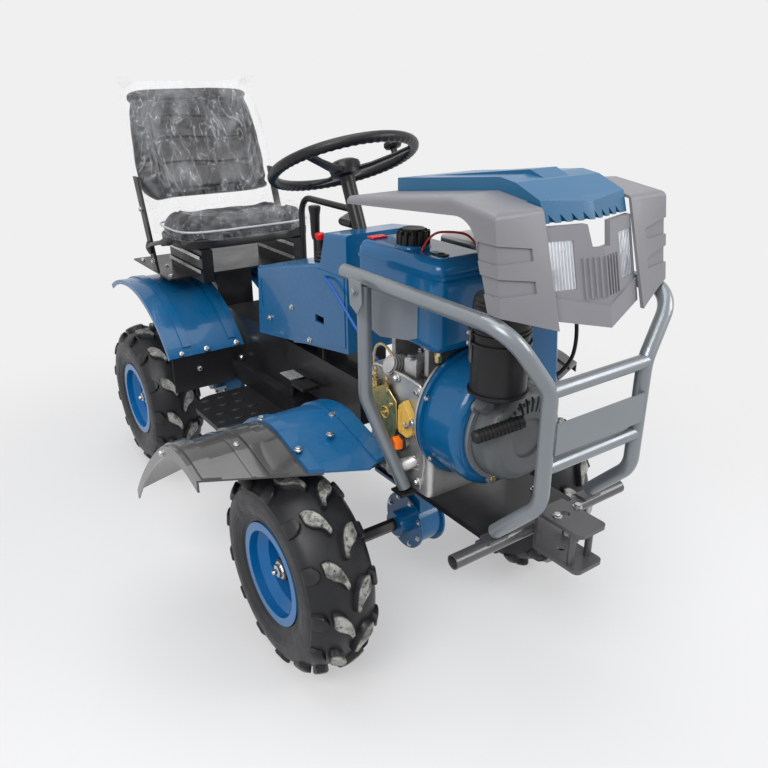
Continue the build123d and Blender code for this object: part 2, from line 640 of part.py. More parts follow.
def hood_top_panel():
    span = LIP_UPS[1] - LIP_UPS[0]
    grow = (HOOD_PEAK_UP - LIP_UPS[0]) / span
    high = [low + (top - low) * grow for low, top in zip(LIP_LOW_AHEADS, LIP_HIGH_AHEADS)]
    body = nose(TOP_PANEL_HALF, TOP_PANEL_TAIL, (LIP_UPS[0], LIP_LOW_AHEADS), (HOOD_PEAK_UP, high))
    roof = prism([
        (TOP_PANEL_TAIL - OVERRUN, LIP_UPS[0] - OVERRUN),
        (TOP_PANEL_TAIL - OVERRUN, TOP_PANEL_TAIL_UP),
        (HOOD_CROWN_AHEAD, TOP_PANEL_CROWN_UP),
        (TOP_PANEL_BREAK, TOP_PANEL_BREAK_UP),
        (LIP_HIGH_AHEADS[0], LIP_UPS[1]),
        (FRONT_REACH, LIP_UPS[1] - span),
        (FRONT_REACH, LIP_UPS[0] - OVERRUN),
    ], -TOP_PANEL_HALF, TOP_PANEL_HALF)
    body = body & roof
    ridge_back, ridge_front = RIDGE_HALVES
    low_face = make_face(Polyline(at(ridge_back, TOP_PANEL_TAIL, 0), at(ridge_front, LIP_HIGH_AHEADS[0], 0),
                                  at(-ridge_front, LIP_HIGH_AHEADS[0], 0), at(-ridge_back, TOP_PANEL_TAIL, 0),
                                  close=True))
    ridge_top = prism([
        (TOP_PANEL_TAIL, LIP_UPS[1] - span),
        (TOP_PANEL_TAIL, TOP_PANEL_TAIL_UP),
        (HOOD_CROWN_AHEAD, TOP_PANEL_CROWN_UP + RIDGE_HIGH),
        (LIP_HIGH_AHEADS[0], LIP_UPS[1]),
    ], -ridge_back, ridge_back)
    ridge = extrude(Pos(0, 0, LIP_UPS[0]) * low_face, HOOD_PEAK_UP - LIP_UPS[0], taper=0) & ridge_top
    seat = Pos(0, 0, SEAT_GAP) * hood_body(0)
    front_cut = block((-TOP_PANEL_HALF, TOP_PANEL_HALF),
                      (MOUTH_BACK + SEAT_GAP, LIP_HIGH_AHEADS[0] - LIP_THICK),
                      (LIP_UPS[0] - OVERRUN, HOOD_CROWN_UP - 2 * HOOD_SHEET))
    seat -= block((-TOP_PANEL_HALF - OVERRUN, TOP_PANEL_HALF + OVERRUN), (MOUTH_BACK + SEAT_GAP, FRONT_REACH),
                  (CHEEK_LOW_UP - OVERRUN, HOOD_PEAK_UP))
    body = body + ridge - seat - front_cut
    pitch = 2 * TOP_PANEL_HALF / (TOOTH_COUNT + 1)
    for index in range(TOOTH_COUNT):
        right = TOP_PANEL_HALF - pitch * (index + 1)
        ahead = LIP_LOW_AHEADS[1] - (LIP_LOW_AHEADS[1] - LIP_LOW_AHEADS[0]) * abs(right) / TOP_PANEL_HALF
        tooth = Polyline((right - pitch / 2, LIP_UPS[0] - OVERRUN), (right + pitch / 2, LIP_UPS[0] - OVERRUN),
                         (right + pitch / 2, LIP_UPS[0] + TOOTH_HIGH), close=True)
        body -= extrude(cross_plane(ahead - TOOTH_DEEP) * make_face(tooth), -TOOTH_DEEP - OVERRUN)
    return body


def grille_body(inset):
    return nose(MOUTH_HALF - SEAT_GAP, MOUTH_BACK, (GRILLE_LOW_UP, GRILLE_LOW_AHEADS),
                (GRILLE_HIGH_UP, GRILLE_HIGH_AHEADS), 0).moved(Pos(0, inset, 0))


def hood_grille():
    half = MOUTH_HALF - SEAT_GAP
    face = grille_body(0) - grille_body(GRILLE_THICK)
    # the apron's lower edge rises to both sides, and so does the step above it
    rise = Polyline((half + OVERRUN, GRILLE_LOW_UP + GRILLE_APRON_DROP), (0, GRILLE_LOW_UP),
                    (-half - OVERRUN, GRILLE_LOW_UP + GRILLE_APRON_DROP),
                    (-half - OVERRUN, GRILLE_LOW_UP - OVERRUN), (half + OVERRUN, GRILLE_LOW_UP - OVERRUN), close=True)
    face -= extrude(cross_plane(0) * make_face(rise), -FRONT_REACH)
    low, high = GRILLE_STEP_UPS
    upper = Polyline((half, high), (0, low), (-half, high), (-half, HOOD_PEAK_UP), (half, HOOD_PEAK_UP), close=True)
    upper_part = extrude(cross_plane(0) * make_face(upper), -FRONT_REACH)
    face -= (grille_body(0) & upper_part) - grille_body(GRILLE_STEP)
    bottom, top = MOUTH_HALVES
    mouth = Polyline((-bottom, MOUTH_LOW_UP), (bottom, MOUTH_LOW_UP), (top, GRILLE_HIGH_UP + OVERRUN),
                     (-top, GRILLE_HIGH_UP + OVERRUN), close=True)
    face -= extrude(cross_plane(0) * make_face(mouth), -FRONT_REACH)
    lamp_gap = block((LAMP_OUT[0] - SEAT_GAP, LAMP_OUT[1] + SEAT_GAP), (MOUTH_BACK, FRONT_REACH),
                     (LAMP_UPS[0] - SEAT_GAP, LAMP_UPS[1] + SEAT_GAP))
    face -= both_sides(lamp_gap)
    slats = []
    for index in range(SLAT_COUNT):
        right = SLAT_HALF_SPAN * (2 * index / (SLAT_COUNT - 1) - 1)
        slats.append(block((right - SLAT_THICK / 2, right + SLAT_THICK / 2), (MOUTH_BACK, FRONT_REACH),
                           (SLAT_LOW_UP, SLAT_LOW_UP + SLAT_HIGH)))
    ribs = grille_body(0) - grille_body(2 * GRILLE_STEP)
    return face + [rib & ribs for rib in slats]


def headlamps():
    glass = grille_body(GRILLE_STEP + LAMP_INSET) - grille_body(GRILLE_STEP + LAMP_INSET + LAMP_DEPTH)
    window = block(LAMP_OUT, (MOUTH_BACK, FRONT_REACH), LAMP_UPS)
    return both_sides(glass & window)


# Engine: crankcase and cylinder, fan cowl, starter, tank, filter, muffler
ENGINE_OUT = (-105.0, 122.0)
ENGINE_AHEAD = (0.0, 200.0)
ENGINE_UPS = (PLATE_UP, 668.0)
ENGINE_ROUND = 14.0
COVER_OUT = 120.0
COVER_AHEAD = (14.0, 152.0)
COVER_UPS = (452.0, 640.0)
COVER_ROUND = 30.0
COVER_STEP = 6.0
BOSS_RADIUS = 7.0
PUMP_AHEAD = (100.0, 138.0)
PUMP_UPS = (640.0, 712.0)
PUMP_OUT = (60.0, 112.0)
FILLER_AHEAD = 118.0
FILLER_UP = 530.0
FILLER_RADIUS = 15.0
FILLER_LONG = 16.0
SUMP_AHEAD = (170.0, 196.0)
SUMP_UPS = (470.0, 640.0)
SUMP_OUT = 114.0
CYLINDER_OUT = (-112.0, -4.0)
CYLINDER_AHEAD = (44.0, 176.0)
CYLINDER_TOP = 900.0
FIN_COUNT = 10
FIN_THICK = 4.0
FIN_REACH = 12.0
FIN_ROUND = 16.0
ROCKER_HIGH = 34.0
ROCKER_ROUND = 12.0
COWL_RADIUS = 137.0
COWL_OUT = 20.0
COWL_UP = 607.0
COWL_AHEAD = (ENGINE_AHEAD[1] + SEAT_GAP, 302.0)
COWL_FLANGE = 8.0
COWL_DRUM_RADIUS = 127.0
COWL_ROUND = 20.0
COWL_TOP = 840.0
COWL_TOP_OUT = (-140.0, 0.0)
COWL_FRONT_TOP = 272.0
STARTER_FLANGE_RADIUS = 104.0
STARTER_FLANGE = 6.0
STARTER_RADIUS = 94.0
STARTER_DEPTH = 62.0
STARTER_ROUND = 26.0
STARTER_HOLLOW_RADIUS = 40.0
STARTER_HOLLOW = 6.0
STARTER_SLOT_COUNT = 14
STARTER_SLOT_RADII = (52.0, 82.0)
STARTER_SLOT_WIDE = 6.0
STARTER_SLOT_DEEP = 14.0
STARTER_SLOT_FROM = 70.0
STARTER_SLOT_SPAN = 150.0
STARTER_SPOUT_TURN = 43.0
STARTER_SPOUT_RADIUS = 15.0
STARTER_SPOUT_LONG = 116.0
TANK_OUT = (2.0, 142.0)
TANK_AHEAD = (-30.0, 236.0)
TANK_UPS = (752.0, 930.0)
TANK_FOOT_OUT = (30.0, 100.0)
TANK_FOOT_AHEAD = (40.0, 150.0)
TANK_FOOT = 12.0
TANK_ROUND = 24.0
TANK_SEAM_DROP = 34.0
TANK_SEAM_REACH = 4.0
TANK_SEAM_HIGH = 5.0
CAP_RADIUS = 30.0
CAP_HIGH = 26.0
CAP_AHEAD = 98.0
CAP_OUT = 92.0
CAP_TOP_RADIUS = 22.0
CAP_TOP_HIGH = 8.0
CAP_GRIP_COUNT = 12
CAP_GRIP_RADIUS = 3.0
FILTER_RADIUS = 50.0
FILTER_OUT = 100.0
FILTER_AHEAD = 356.0
FILTER_UPS = (712.0, 892.0)
FILTER_RIM = 4.0
FILTER_RIM_HIGH = 5.0
FILTER_RIM_UPS = (722.0, 812.0)
FILTER_ROUND = 14.0
FILTER_NECK_RADIUS = 16.0
FILTER_NECK_BEND = 40.0
MUFFLER_RADIUS = 28.0
MUFFLER_OUT = -155.0
MUFFLER_UP = 800.0
MUFFLER_AHEAD = (10.0, 196.0)
MUFFLER_PIPE = 12.0


def boss(out, ahead, up, radius, length):
    """A round boss that ends at a place to the right."""
    return rod_between(at(out - length, ahead, up), at(out, ahead, up), radius)


def side_cover():
    """The rounded gear cover on the crankcase's right, with its bolt bosses."""
    back, front = COVER_AHEAD
    low, high = COVER_UPS
    face = RectangleRounded(front - back, high - low, COVER_ROUND)
    middle = ((back + front) / 2, (low + high) / 2)
    flange = extrude(side_plane(ENGINE_OUT[1] - OVERRUN) * Pos(*middle) * face,
                     COVER_OUT - COVER_STEP - ENGINE_OUT[1] + OVERRUN)
    crown = RectangleRounded(front - back - 4 * COVER_STEP, high - low - 4 * COVER_STEP, COVER_ROUND - COVER_STEP)
    crown = extrude(side_plane(ENGINE_OUT[1]) * Pos(*middle) * crown, COVER_OUT - ENGINE_OUT[1])
    body = flange + crown
    for ahead in (back + COVER_ROUND, front - COVER_ROUND):
        for up in (low + COVER_STEP, high - COVER_STEP):
            body += boss(COVER_OUT - COVER_STEP / 2, ahead, up, BOSS_RADIUS, OVERRUN)
    for up in (low + COVER_ROUND * 2, high - COVER_ROUND * 2):
        for ahead in (back + COVER_STEP, front - COVER_STEP):
            body += boss(COVER_OUT - COVER_STEP / 2, ahead, up, BOSS_RADIUS, OVERRUN)
    return body


def engine_block():
    crankcase = block(ENGINE_OUT, ENGINE_AHEAD, ENGINE_UPS)
    crankcase = fillet(crankcase.edges().filter_by(Axis.Z), ENGINE_ROUND)
    cylinder = block(CYLINDER_OUT, CYLINDER_AHEAD, (ENGINE_UPS[1] - OVERRUN, CYLINDER_TOP))
    cylinder = fillet(cylinder.edges().filter_by(Axis.Z), ENGINE_ROUND)
    pitch = (CYLINDER_TOP - ENGINE_UPS[1]) / (FIN_COUNT + 1)
    body = crankcase + cylinder + side_cover()
    for index in range(1, FIN_COUNT + 1):
        up = ENGINE_UPS[1] + pitch * index
        fin = block((CYLINDER_OUT[0] - FIN_REACH, CYLINDER_OUT[1]),
                    (CYLINDER_AHEAD[0] - FIN_REACH, CYLINDER_AHEAD[1] + FIN_REACH),
                    (up - FIN_THICK / 2, up + FIN_THICK / 2))
        body += fillet(fin.edges().filter_by(Axis.Z), FIN_ROUND)
    rocker = block(CYLINDER_OUT, (CYLINDER_AHEAD[0] + FIN_REACH, CYLINDER_AHEAD[1] - FIN_REACH),
                   (CYLINDER_TOP - OVERRUN, CYLINDER_TOP + ROCKER_HIGH))
    rocker = fillet(rocker.edges().filter_by(Axis.Z), ROCKER_ROUND)
    rocker = fillet(rocker.edges().group_by(Axis.Z)[-1], ROCKER_ROUND / 2)
    pump = block(PUMP_OUT, PUMP_AHEAD, (ENGINE_UPS[1] - OVERRUN, PUMP_UPS[1]))
    pump = fillet(pump.edges().group_by(Axis.Z)[-1], ROCKER_ROUND)
    sump = block((ENGINE_OUT[1] - OVERRUN, SUMP_OUT), SUMP_AHEAD, SUMP_UPS)
    filler = boss(COVER_OUT + FILLER_LONG, FILLER_AHEAD, FILLER_UP, FILLER_RADIUS, FILLER_LONG + OVERRUN)
    for ahead in TANK_FOOT_AHEAD:
        body += block(TANK_FOOT_OUT, (ahead, ahead + TANK_FOOT), (ENGINE_UPS[1] - OVERRUN, TANK_UPS[0] - SEAT_GAP))
    return body + rocker + pump + sump + filler


def fan_cowl():
    back, front = COWL_AHEAD
    centre = Pos(COWL_OUT, COWL_UP)
    flange = extrude(cross_plane(back + COWL_FLANGE) * centre * Circle(COWL_RADIUS), COWL_FLANGE)
    drum = extrude(cross_plane(front) * centre * Circle(COWL_DRUM_RADIUS), front - back)
    drum = fillet(drum.edges().group_by(Axis.Y)[0], COWL_ROUND)
    left, right = COWL_TOP_OUT
    duct = prism([(back, COWL_UP), (back, COWL_TOP), (COWL_FRONT_TOP, COWL_TOP), (front - COWL_ROUND / 2, COWL_UP)],
                 left, right)
    duct = fillet(duct.edges().filter_by(lambda e: e.center().Y < FRONT_AXLE_Y - COWL_FRONT_TOP + OVERRUN
                                         and e.center().Z > COWL_UP + OVERRUN), ENGINE_ROUND)
    return flange + drum + duct


def recoil_starter():
    foot = COWL_AHEAD[1] + SEAT_GAP
    centre = Pos(COWL_OUT, COWL_UP)

    def disc(radius, start, depth):
        return extrude(cross_plane(foot + start + depth) * centre * Circle(radius), depth)

    body = disc(STARTER_RADIUS, 0, STARTER_DEPTH)
    body = fillet(body.edges().group_by(Axis.Y)[0], STARTER_ROUND)
    spout_turn = math.radians(STARTER_SPOUT_TURN)
    spout_mid = foot + STARTER_SPOUT_RADIUS + STARTER_FLANGE / 2
    spout_end = at(COWL_OUT + STARTER_SPOUT_LONG * math.cos(spout_turn), spout_mid,
                   COWL_UP + STARTER_SPOUT_LONG * math.sin(spout_turn))
    spout = rod_between(at(COWL_OUT, spout_mid, COWL_UP), spout_end, STARTER_SPOUT_RADIUS)
    body = body + disc(STARTER_FLANGE_RADIUS, 0, STARTER_FLANGE) + spout
    body -= disc(STARTER_HOLLOW_RADIUS, STARTER_DEPTH - STARTER_HOLLOW, STARTER_HOLLOW + OVERRUN)
    low, high = STARTER_SLOT_RADII
    slot = Pos((low + high) / 2, 0) * SlotOverall(high - low, STARTER_SLOT_WIDE)
    for index in range(STARTER_SLOT_COUNT):
        turn = STARTER_SLOT_FROM + STARTER_SLOT_SPAN * index / (STARTER_SLOT_COUNT - 1)
        face = cross_plane(foot + STARTER_DEPTH + OVERRUN) * centre * Rot(0, 0, turn) * slot
        body -= extrude(face, STARTER_SLOT_DEEP + OVERRUN)
    return body


def fuel_tank():
    body = block(TANK_OUT, TANK_AHEAD, TANK_UPS)
    body = fillet(body.edges(), TANK_ROUND)
    seam_up = TANK_UPS[1] - TANK_SEAM_DROP
    seam = block((TANK_OUT[0] + SHEET - TANK_SEAM_REACH, TANK_OUT[1] + TANK_SEAM_REACH - SHEET),
                 (TANK_AHEAD[0] - TANK_SEAM_REACH, TANK_AHEAD[1] + TANK_SEAM_REACH),
                 (seam_up, seam_up + TANK_SEAM_HIGH))
    return body + fillet(seam.edges().filter_by(Axis.Z), TANK_ROUND)


def tank_cap():
    foot = TANK_UPS[1] + SEAT_GAP
    body = rod_between(at(CAP_OUT, CAP_AHEAD, foot), at(CAP_OUT, CAP_AHEAD, foot + CAP_HIGH), CAP_RADIUS)
    top = foot + CAP_HIGH
    body = chamfer(body.edges().group_by(Axis.Z)[-1], SHEET)
    body += rod_between(at(CAP_OUT, CAP_AHEAD, top), at(CAP_OUT, CAP_AHEAD, top + CAP_TOP_HIGH), CAP_TOP_RADIUS)
    for index in range(CAP_GRIP_COUNT):
        angle = math.tau * index / CAP_GRIP_COUNT
        right = CAP_OUT + CAP_RADIUS * math.cos(angle)
        ahead = CAP_AHEAD + CAP_RADIUS * math.sin(angle)
        body -= rod_between(at(right, ahead, foot + SHEET), at(right, ahead, top + OVERRUN), CAP_GRIP_RADIUS)
    return body


def air_filter():
    low, high = FILTER_UPS
    body = rod_between(at(FILTER_OUT, FILTER_AHEAD, low), at(FILTER_OUT, FILTER_AHEAD, high), FILTER_RADIUS)
    body = fillet(body.edges().filter_by(GeomType.CIRCLE), FILTER_ROUND)
    for rim_up in FILTER_RIM_UPS:
        body += rod_between(at(FILTER_OUT, FILTER_AHEAD, rim_up),
                            at(FILTER_OUT, FILTER_AHEAD, rim_up + FILTER_RIM_HIGH), FILTER_RADIUS + FILTER_RIM)
    neck_up = high - FILTER_NECK_RADIUS - FILTER_ROUND
    port = (CYLINDER_OUT[0] + CYLINDER_OUT[1]) / 2
    face = CYLINDER_AHEAD[1] + FIN_REACH
    neck = pipe([at(FILTER_OUT, FILTER_AHEAD, neck_up), at(port, COWL_AHEAD[1] + FILTER_NECK_RADIUS, neck_up),
                 at(port, face + SEAT_GAP, neck_up)], [FILTER_NECK_BEND], FILTER_NECK_RADIUS)
    return body + neck


def exhaust_muffler():
    back, front = MUFFLER_AHEAD
    can = rod_between(at(MUFFLER_OUT, back, MUFFLER_UP), at(MUFFLER_OUT, front, MUFFLER_UP), MUFFLER_RADIUS)
    can = fillet(can.edges().filter_by(GeomType.CIRCLE), MUFFLER_PIPE)
    middle = (CYLINDER_AHEAD[0] + CYLINDER_AHEAD[1]) / 2
    stub = rod_between(at(CYLINDER_OUT[0] - FIN_REACH - SEAT_GAP, middle, MUFFLER_UP),
                       at(MUFFLER_OUT, middle, MUFFLER_UP), MUFFLER_PIPE)
    return can + stub


# Front fenders: a dark outer panel under a blue inner one on each side
FENDER_LAP = 30.0
FENDER_FRONT_EDGE = [(145.0, 104.0), (180.0, 104.0), (210.0, 116.0), (540.0, 2.0)]
FENDER_REAR_EDGE = [(540.0, -432.0), (330.0, -352.0), (145.0, -300.0)]
FENDER_RIBS = [
    # (middle across, width, height) of the pressed bands
    (172.0, 30.0, 5.0),
    (385.0, 34.0, 5.0),
    (430.0, 8.0, 2.0),
    (506.0, 34.0, 5.0),
]
FENDER_LIP = 26.0


def fender_end(lift, index):
    ahead, up = FENDER_PROFILE[index]
    return (ahead, up + lift)


def fender_sheet(right_low, right_high, top, bottom):
    """The arch over the wheel between two offsets from its upper face."""
    outline = fender_line(top) + fender_line(bottom)
    for end in (0, -1):
        outline += Line(fender_end(top, end), fender_end(bottom, end))
    return extrude(side_plane(right_low) * make_face(outline), right_high - right_low)


def fender_line(lift):
    """The arch's side line: a straight brow, the crest's arc and the rear arc."""
    points = [(ahead, up + lift) for ahead, up in FENDER_PROFILE]
    front, brow, crest, shoulder, middle, rear = points
    return Line(front, brow) + ThreePointArc(brow, crest, shoulder) + ThreePointArc(shoulder, middle, rear)


def fender_plan():
    low = FENDER_PROFILE[-1][1] - FENDER_LIP - OVERRUN
    corners = [at(right, ahead, low) for right, ahead in FENDER_FRONT_EDGE + FENDER_REAR_EDGE]
    return extrude(make_face(Polyline(*corners, close=True)), PLATE_UP)


def fender_panel(right_low, right_high, lift, ribs):
    sheet = fender_sheet(right_low, right_high, lift, lift - FENDER_SHEET)
    for middle, wide, high in ribs:
        band = fender_sheet(middle - wide / 2, middle + wide / 2, lift + high, lift - FENDER_SHEET / 2)
        sheet += band
    return sheet & fender_plan()


def front_fender_inner():
    ribs = [rib for rib in FENDER_RIBS if rib[0] < FENDER_SPLIT]
    lap = (FENDER_SPLIT + FENDER_LAP / 2, FENDER_LAP, FENDER_RIBS[0][2])
    panel = fender_panel(FENDER_INNER, FENDER_SPLIT + FENDER_LAP, FENDER_SHEET + SEAT_GAP, ribs + [lap])
    return both_sides(panel)


def front_fender_outer():
    ribs = [rib for rib in FENDER_RIBS if rib[0] > FENDER_SPLIT]
    panel = fender_panel(FENDER_SPLIT, FENDER_OUTER, 0, ribs)
    wall = fender_sheet(FENDER_OUTER - FENDER_SHEET, FENDER_OUTER, 0, -FENDER_LIP) & fender_plan()
    return both_sides(panel + wall)


# Rear unit: backbone, gearbox and waist yoke
BACKBONE_UP = 384.0
BACKBONE_HIGH = 60.0
BACKBONE_OUT = 70.0
BACKBONE_WIDE = 40.0
BACKBONE_FRONT = -440.0
BACKBONE_OVERHANG = 120.0
BACKBONE_BACK = -WHEELBASE - BACKBONE_OVERHANG
GEARBOX_OUT = 60.0
GEARBOX_BACK = -900.0
GEARBOX_NOSE = -145.0
GEARBOX_UPS = (BACKBONE_UP + BACKBONE_HIGH / 2, 560.0)
REAR_TONGUE_HALF = 30.0
REAR_TONGUE_THICK = 12.0
REAR_TONGUE_UP = 330.0
REAR_HOLE = 10.0


def rear_chassis():
    low = BACKBONE_UP - BACKBONE_HIGH / 2
    high = BACKBONE_UP + BACKBONE_HIGH / 2
    body = block((-BACKBONE_OUT - BACKBONE_WIDE / 2, BACKBONE_OUT + BACKBONE_WIDE / 2),
                 (BACKBONE_FRONT - BACKBONE_WIDE, BACKBONE_FRONT), (low, high))
    for side in (-1, 1):
        body += block((side * BACKBONE_OUT - BACKBONE_WIDE / 2, side * BACKBONE_OUT + BACKBONE_WIDE / 2),
                      (BACKBONE_BACK, BACKBONE_FRONT), (low, high))
    body += block((-BACKBONE_OUT, BACKBONE_OUT), (BACKBONE_BACK, BACKBONE_BACK + BACKBONE_WIDE), (low, high))
    foot = WAIST_UP - BARREL_HIGH / 2 - WAIST_RUN_GAP
    head = WAIST_UP + BARREL_HIGH / 2 + WAIST_RUN_GAP
    for ear_low in (foot - YOKE_THICK, head):
        ear = block((-YOKE_RADIUS, YOKE_RADIUS), (BACKBONE_FRONT, -WAIST_BACK), (ear_low, ear_low + YOKE_THICK))
        ear += rod_between(at(0, -WAIST_BACK, ear_low), at(0, -WAIST_BACK, ear_low + YOKE_THICK), YOKE_RADIUS)
        body += ear
    web_back = BACKBONE_FRONT - BACKBONE_WIDE
    body += block((-YOKE_RADIUS, YOKE_RADIUS), (web_back, BACKBONE_FRONT), (foot - YOKE_THICK, head + YOKE_THICK))
    pin = rod_between(at(0, -WAIST_BACK, foot - YOKE_THICK), at(0, -WAIST_BACK, head + YOKE_THICK), PIN_RADIUS)
    body += pin
    tail = -WHEELBASE - REAR_OVERHANG
    tongue = block((-REAR_TONGUE_HALF, REAR_TONGUE_HALF), (tail, BACKBONE_BACK + BACKBONE_WIDE),
                   (REAR_TONGUE_UP, REAR_TONGUE_UP + REAR_TONGUE_THICK))
    hanger = block((-REAR_TONGUE_HALF, REAR_TONGUE_HALF), (BACKBONE_BACK, BACKBONE_BACK + REAR_TONGUE_THICK),
                   (REAR_TONGUE_UP, low))
    hole_ahead = tail + REAR_TONGUE_HALF
    hole = rod_between(at(0, hole_ahead, REAR_TONGUE_UP - OVERRUN),
                       at(0, hole_ahead, REAR_TONGUE_UP + REAR_TONGUE_THICK + OVERRUN), REAR_HOLE)
    return body + hanger + (tongue - hole)


def gearbox():
    step = BACKBONE_FRONT - BACKBONE_WIDE - SEAT_GAP
    yoke_top = WAIST_UP + BARREL_HIGH / 2 + WAIST_RUN_GAP + YOKE_THICK
    wide = (-GEARBOX_OUT, GEARBOX_OUT)
    case = block(wide, (GEARBOX_BACK, step), GEARBOX_UPS)
    nose = block(wide, (step, GEARBOX_NOSE), (yoke_top + SEAT_GAP, GEARBOX_UPS[1]))
    return case + nose


# Dash cover, steering column and wheel
COVER_HALF = 100.0
COVER_EDGE = 9.0
SIDE_PLATE_THICK = 2.0
SIDE_PLATE_OUTLINE = [
    # (ahead, up) of the plate laid on each side, rear foot first
    (-388.0, 596.0),
    (-370.0, 792.0),
    (-262.0, 816.0),
    (-140.0, 816.0),
    (-140.0, 652.0),
]
SIDE_SLOT_AHEAD = (-272.0, -232.0)
SIDE_SLOT_UPS = (684.0, 702.0)
SIDE_PRESS_AHEAD = (-560.0, -410.0)
SIDE_PRESS_UPS = (640.0, 730.0)
SIDE_PRESS_DEEP = 1.5
SIDE_PRESS_ROUND = 14.0
COVER_OUTLINE = [
    # (ahead, up), rear foot first
    (-596.0, 566.0),
    (-580.0, 756.0),
    (-250.0, 828.0),
    (-226.0, 902.0),
    (-130.0, 912.0),
    (-130.0, 640.0),
]
WHEEL_AHEAD = -290.0
WHEEL_UP = 1042.0
WHEEL_TILT = 24.0
GRIP_RING_RADIUS = 166.0
GRIP_RADIUS = 13.0
SPOKE_DROP = 34.0
SPOKE_RADIUS = 8.0
HUB_CAP_RADIUS = 30.0
HUB_CAP_HIGH = 22.0
COLUMN_RADIUS = 17.0
COLUMN_FOOT_UP = 880.0
COLUMN_BOX = 30.0
COLUMN_BOX_AHEAD = (-245.0, -165.0)
BRACE_RADIUS = 9.0
BRACE_OUT = -112.0
BRACE_UP = 905.0
BRACE_BACK = -700.0
BRACE_BEND = 50.0


def dash_cover():
    shell = prism(COVER_OUTLINE, -COVER_HALF, COVER_HALF)
    sides = shell.edges().filter_by(lambda e: abs(e.center().X) > COVER_HALF - OVERRUN
                                    and e.center().Z > COVER_OUTLINE[-1][1] + OVERRUN
                                    and e.bounding_box().size.Y > OVERRUN)
    shell = fillet(sides, COVER_EDGE)
    middle_ahead = (COVER_OUTLINE[0][0] + COVER_OUTLINE[-1][0]) / 2
    middle_up = COVER_OUTLINE[0][1]
    inner = []
    for ahead, up in COVER_OUTLINE:
        ahead += SHEET if ahead < middle_ahead else -SHEET
        up += -SHEET if up > middle_up + SHEET else -OVERRUN
        inner.append((ahead, up))
    inner[-1] = (inner[-1][0], middle_up - OVERRUN)
    core = prism(inner, -COVER_HALF + SHEET, COVER_HALF - SHEET)
    plate = prism(SIDE_PLATE_OUTLINE, COVER_HALF - SHEET, COVER_HALF + SIDE_PLATE_THICK)
    slot = block((COVER_HALF - OVERRUN, COVER_HALF + OVERRUN), SIDE_SLOT_AHEAD, SIDE_SLOT_UPS)
    (back, front), (low, high) = SIDE_PRESS_AHEAD, SIDE_PRESS_UPS
    press = RectangleRounded(front - back, high - low, SIDE_PRESS_ROUND)
    press = Pos((back + front) / 2, (low + high) / 2) * press
    press = extrude(side_plane(COVER_HALF - SIDE_PRESS_DEEP) * press, OVERRUN)
    shell = shell + both_sides(plate) - both_sides(slot) - both_sides(press)
    shell = shell - core - column_bar(COLUMN_RADIUS + SEAT_GAP)
    for right, ahead, top, grip in LEVERS:
        slot = LEVER_RADIUS + LEVER_ROOM
        shell -= block((right - slot, right + slot), (ahead - slot, ahead + slot), (middle_up, top))
    return shell


def wheel_plane():
    tilt = math.radians(WHEEL_TILT)
    return Plane(origin=at(0, WHEEL_AHEAD, WHEEL_UP), x_dir=(-1, 0, 0),
                 z_dir=(0, math.sin(tilt), math.cos(tilt)))


def steering_wheel():
    ring = Torus(GRIP_RING_RADIUS, GRIP_RADIUS)
    hub = Pos(0, 0, -SPOKE_DROP) * Cylinder(HUB_CAP_RADIUS, HUB_CAP_HIGH)
    body = ring + hub
    for turn in (30, 150, 270):
        angle = math.radians(turn)
        rim_end = (GRIP_RING_RADIUS * math.cos(angle), GRIP_RING_RADIUS * math.sin(angle), 0)
        body += rod_between((0, 0, -SPOKE_DROP), rim_end, SPOKE_RADIUS)
    return wheel_plane() * body


def column_bar(radius):
    """A bar along the tilted column, from its box up to under the hub."""
    tilt = math.radians(WHEEL_TILT)
    top_drop = SPOKE_DROP + HUB_CAP_HIGH / 2 + WAIST_RUN_GAP
    top = at(0, WHEEL_AHEAD + top_drop * math.sin(tilt), WHEEL_UP - top_drop * math.cos(tilt))
    length = (WHEEL_UP - COLUMN_FOOT_UP) / math.cos(tilt)
    foot = at(0, WHEEL_AHEAD + length * math.sin(tilt), COLUMN_FOOT_UP)
    return rod_between(foot, top, radius)


def steering_column():
    box = block((-COLUMN_BOX, COLUMN_BOX), COLUMN_BOX_AHEAD, (GEARBOX_UPS[1] + SEAT_GAP, COLUMN_FOOT_UP))
    return column_bar(COLUMN_RADIUS) + box


def hand_rail():
    lean = (WHEEL_UP - BRACE_UP) * math.tan(math.radians(WHEEL_TILT))
    start = WHEEL_AHEAD + lean - (COLUMN_RADIUS + SEAT_GAP) / math.cos(math.radians(WHEEL_TILT)) - BRACE_RADIUS
    return pipe([at(0, start, BRACE_UP), at(0, start - BRACE_BEND, BRACE_UP),
                 at(BRACE_OUT, start - BRACE_BEND * 3, BRACE_UP),
                 at(BRACE_OUT, BRACE_BACK, BRACE_UP), at(BRACE_OUT, BRACE_BACK, BOARD_UP + SEAT_GAP)],
                [BRACE_BEND / 2, BRACE_BEND, BRACE_BEND], BRACE_RADIUS)


# Levers and pedal
LEVERS = [
    # (right, ahead, top up, grip radius)
    (30.0, -380.0, 936.0, 11.0),
    (52.0, -320.0, 880.0, 9.0),
]
LEVER_RADIUS = 6.0
LEVER_ROOM = 6.0
GRIP_LONG = 48.0
PEDAL_OUT = (66.0, 114.0)
PEDAL_AHEAD = (-392.0, -330.0)
PEDAL_UP = 486.0
PEDAL_THICK = 8.0
PEDAL_ARM = 7.0
PEDAL_BEND = 18.0


def gear_levers():
    levers = []
    foot = GEARBOX_UPS[1] + SEAT_GAP
    for right, ahead, top, grip in LEVERS:
        lever = rod_between(at(right, ahead, foot), at(right, ahead, top), LEVER_RADIUS)
        lever += rod_between(at(right, ahead, top - GRIP_LONG), at(right, ahead, top), grip)
        levers.append(lever)
    return levers


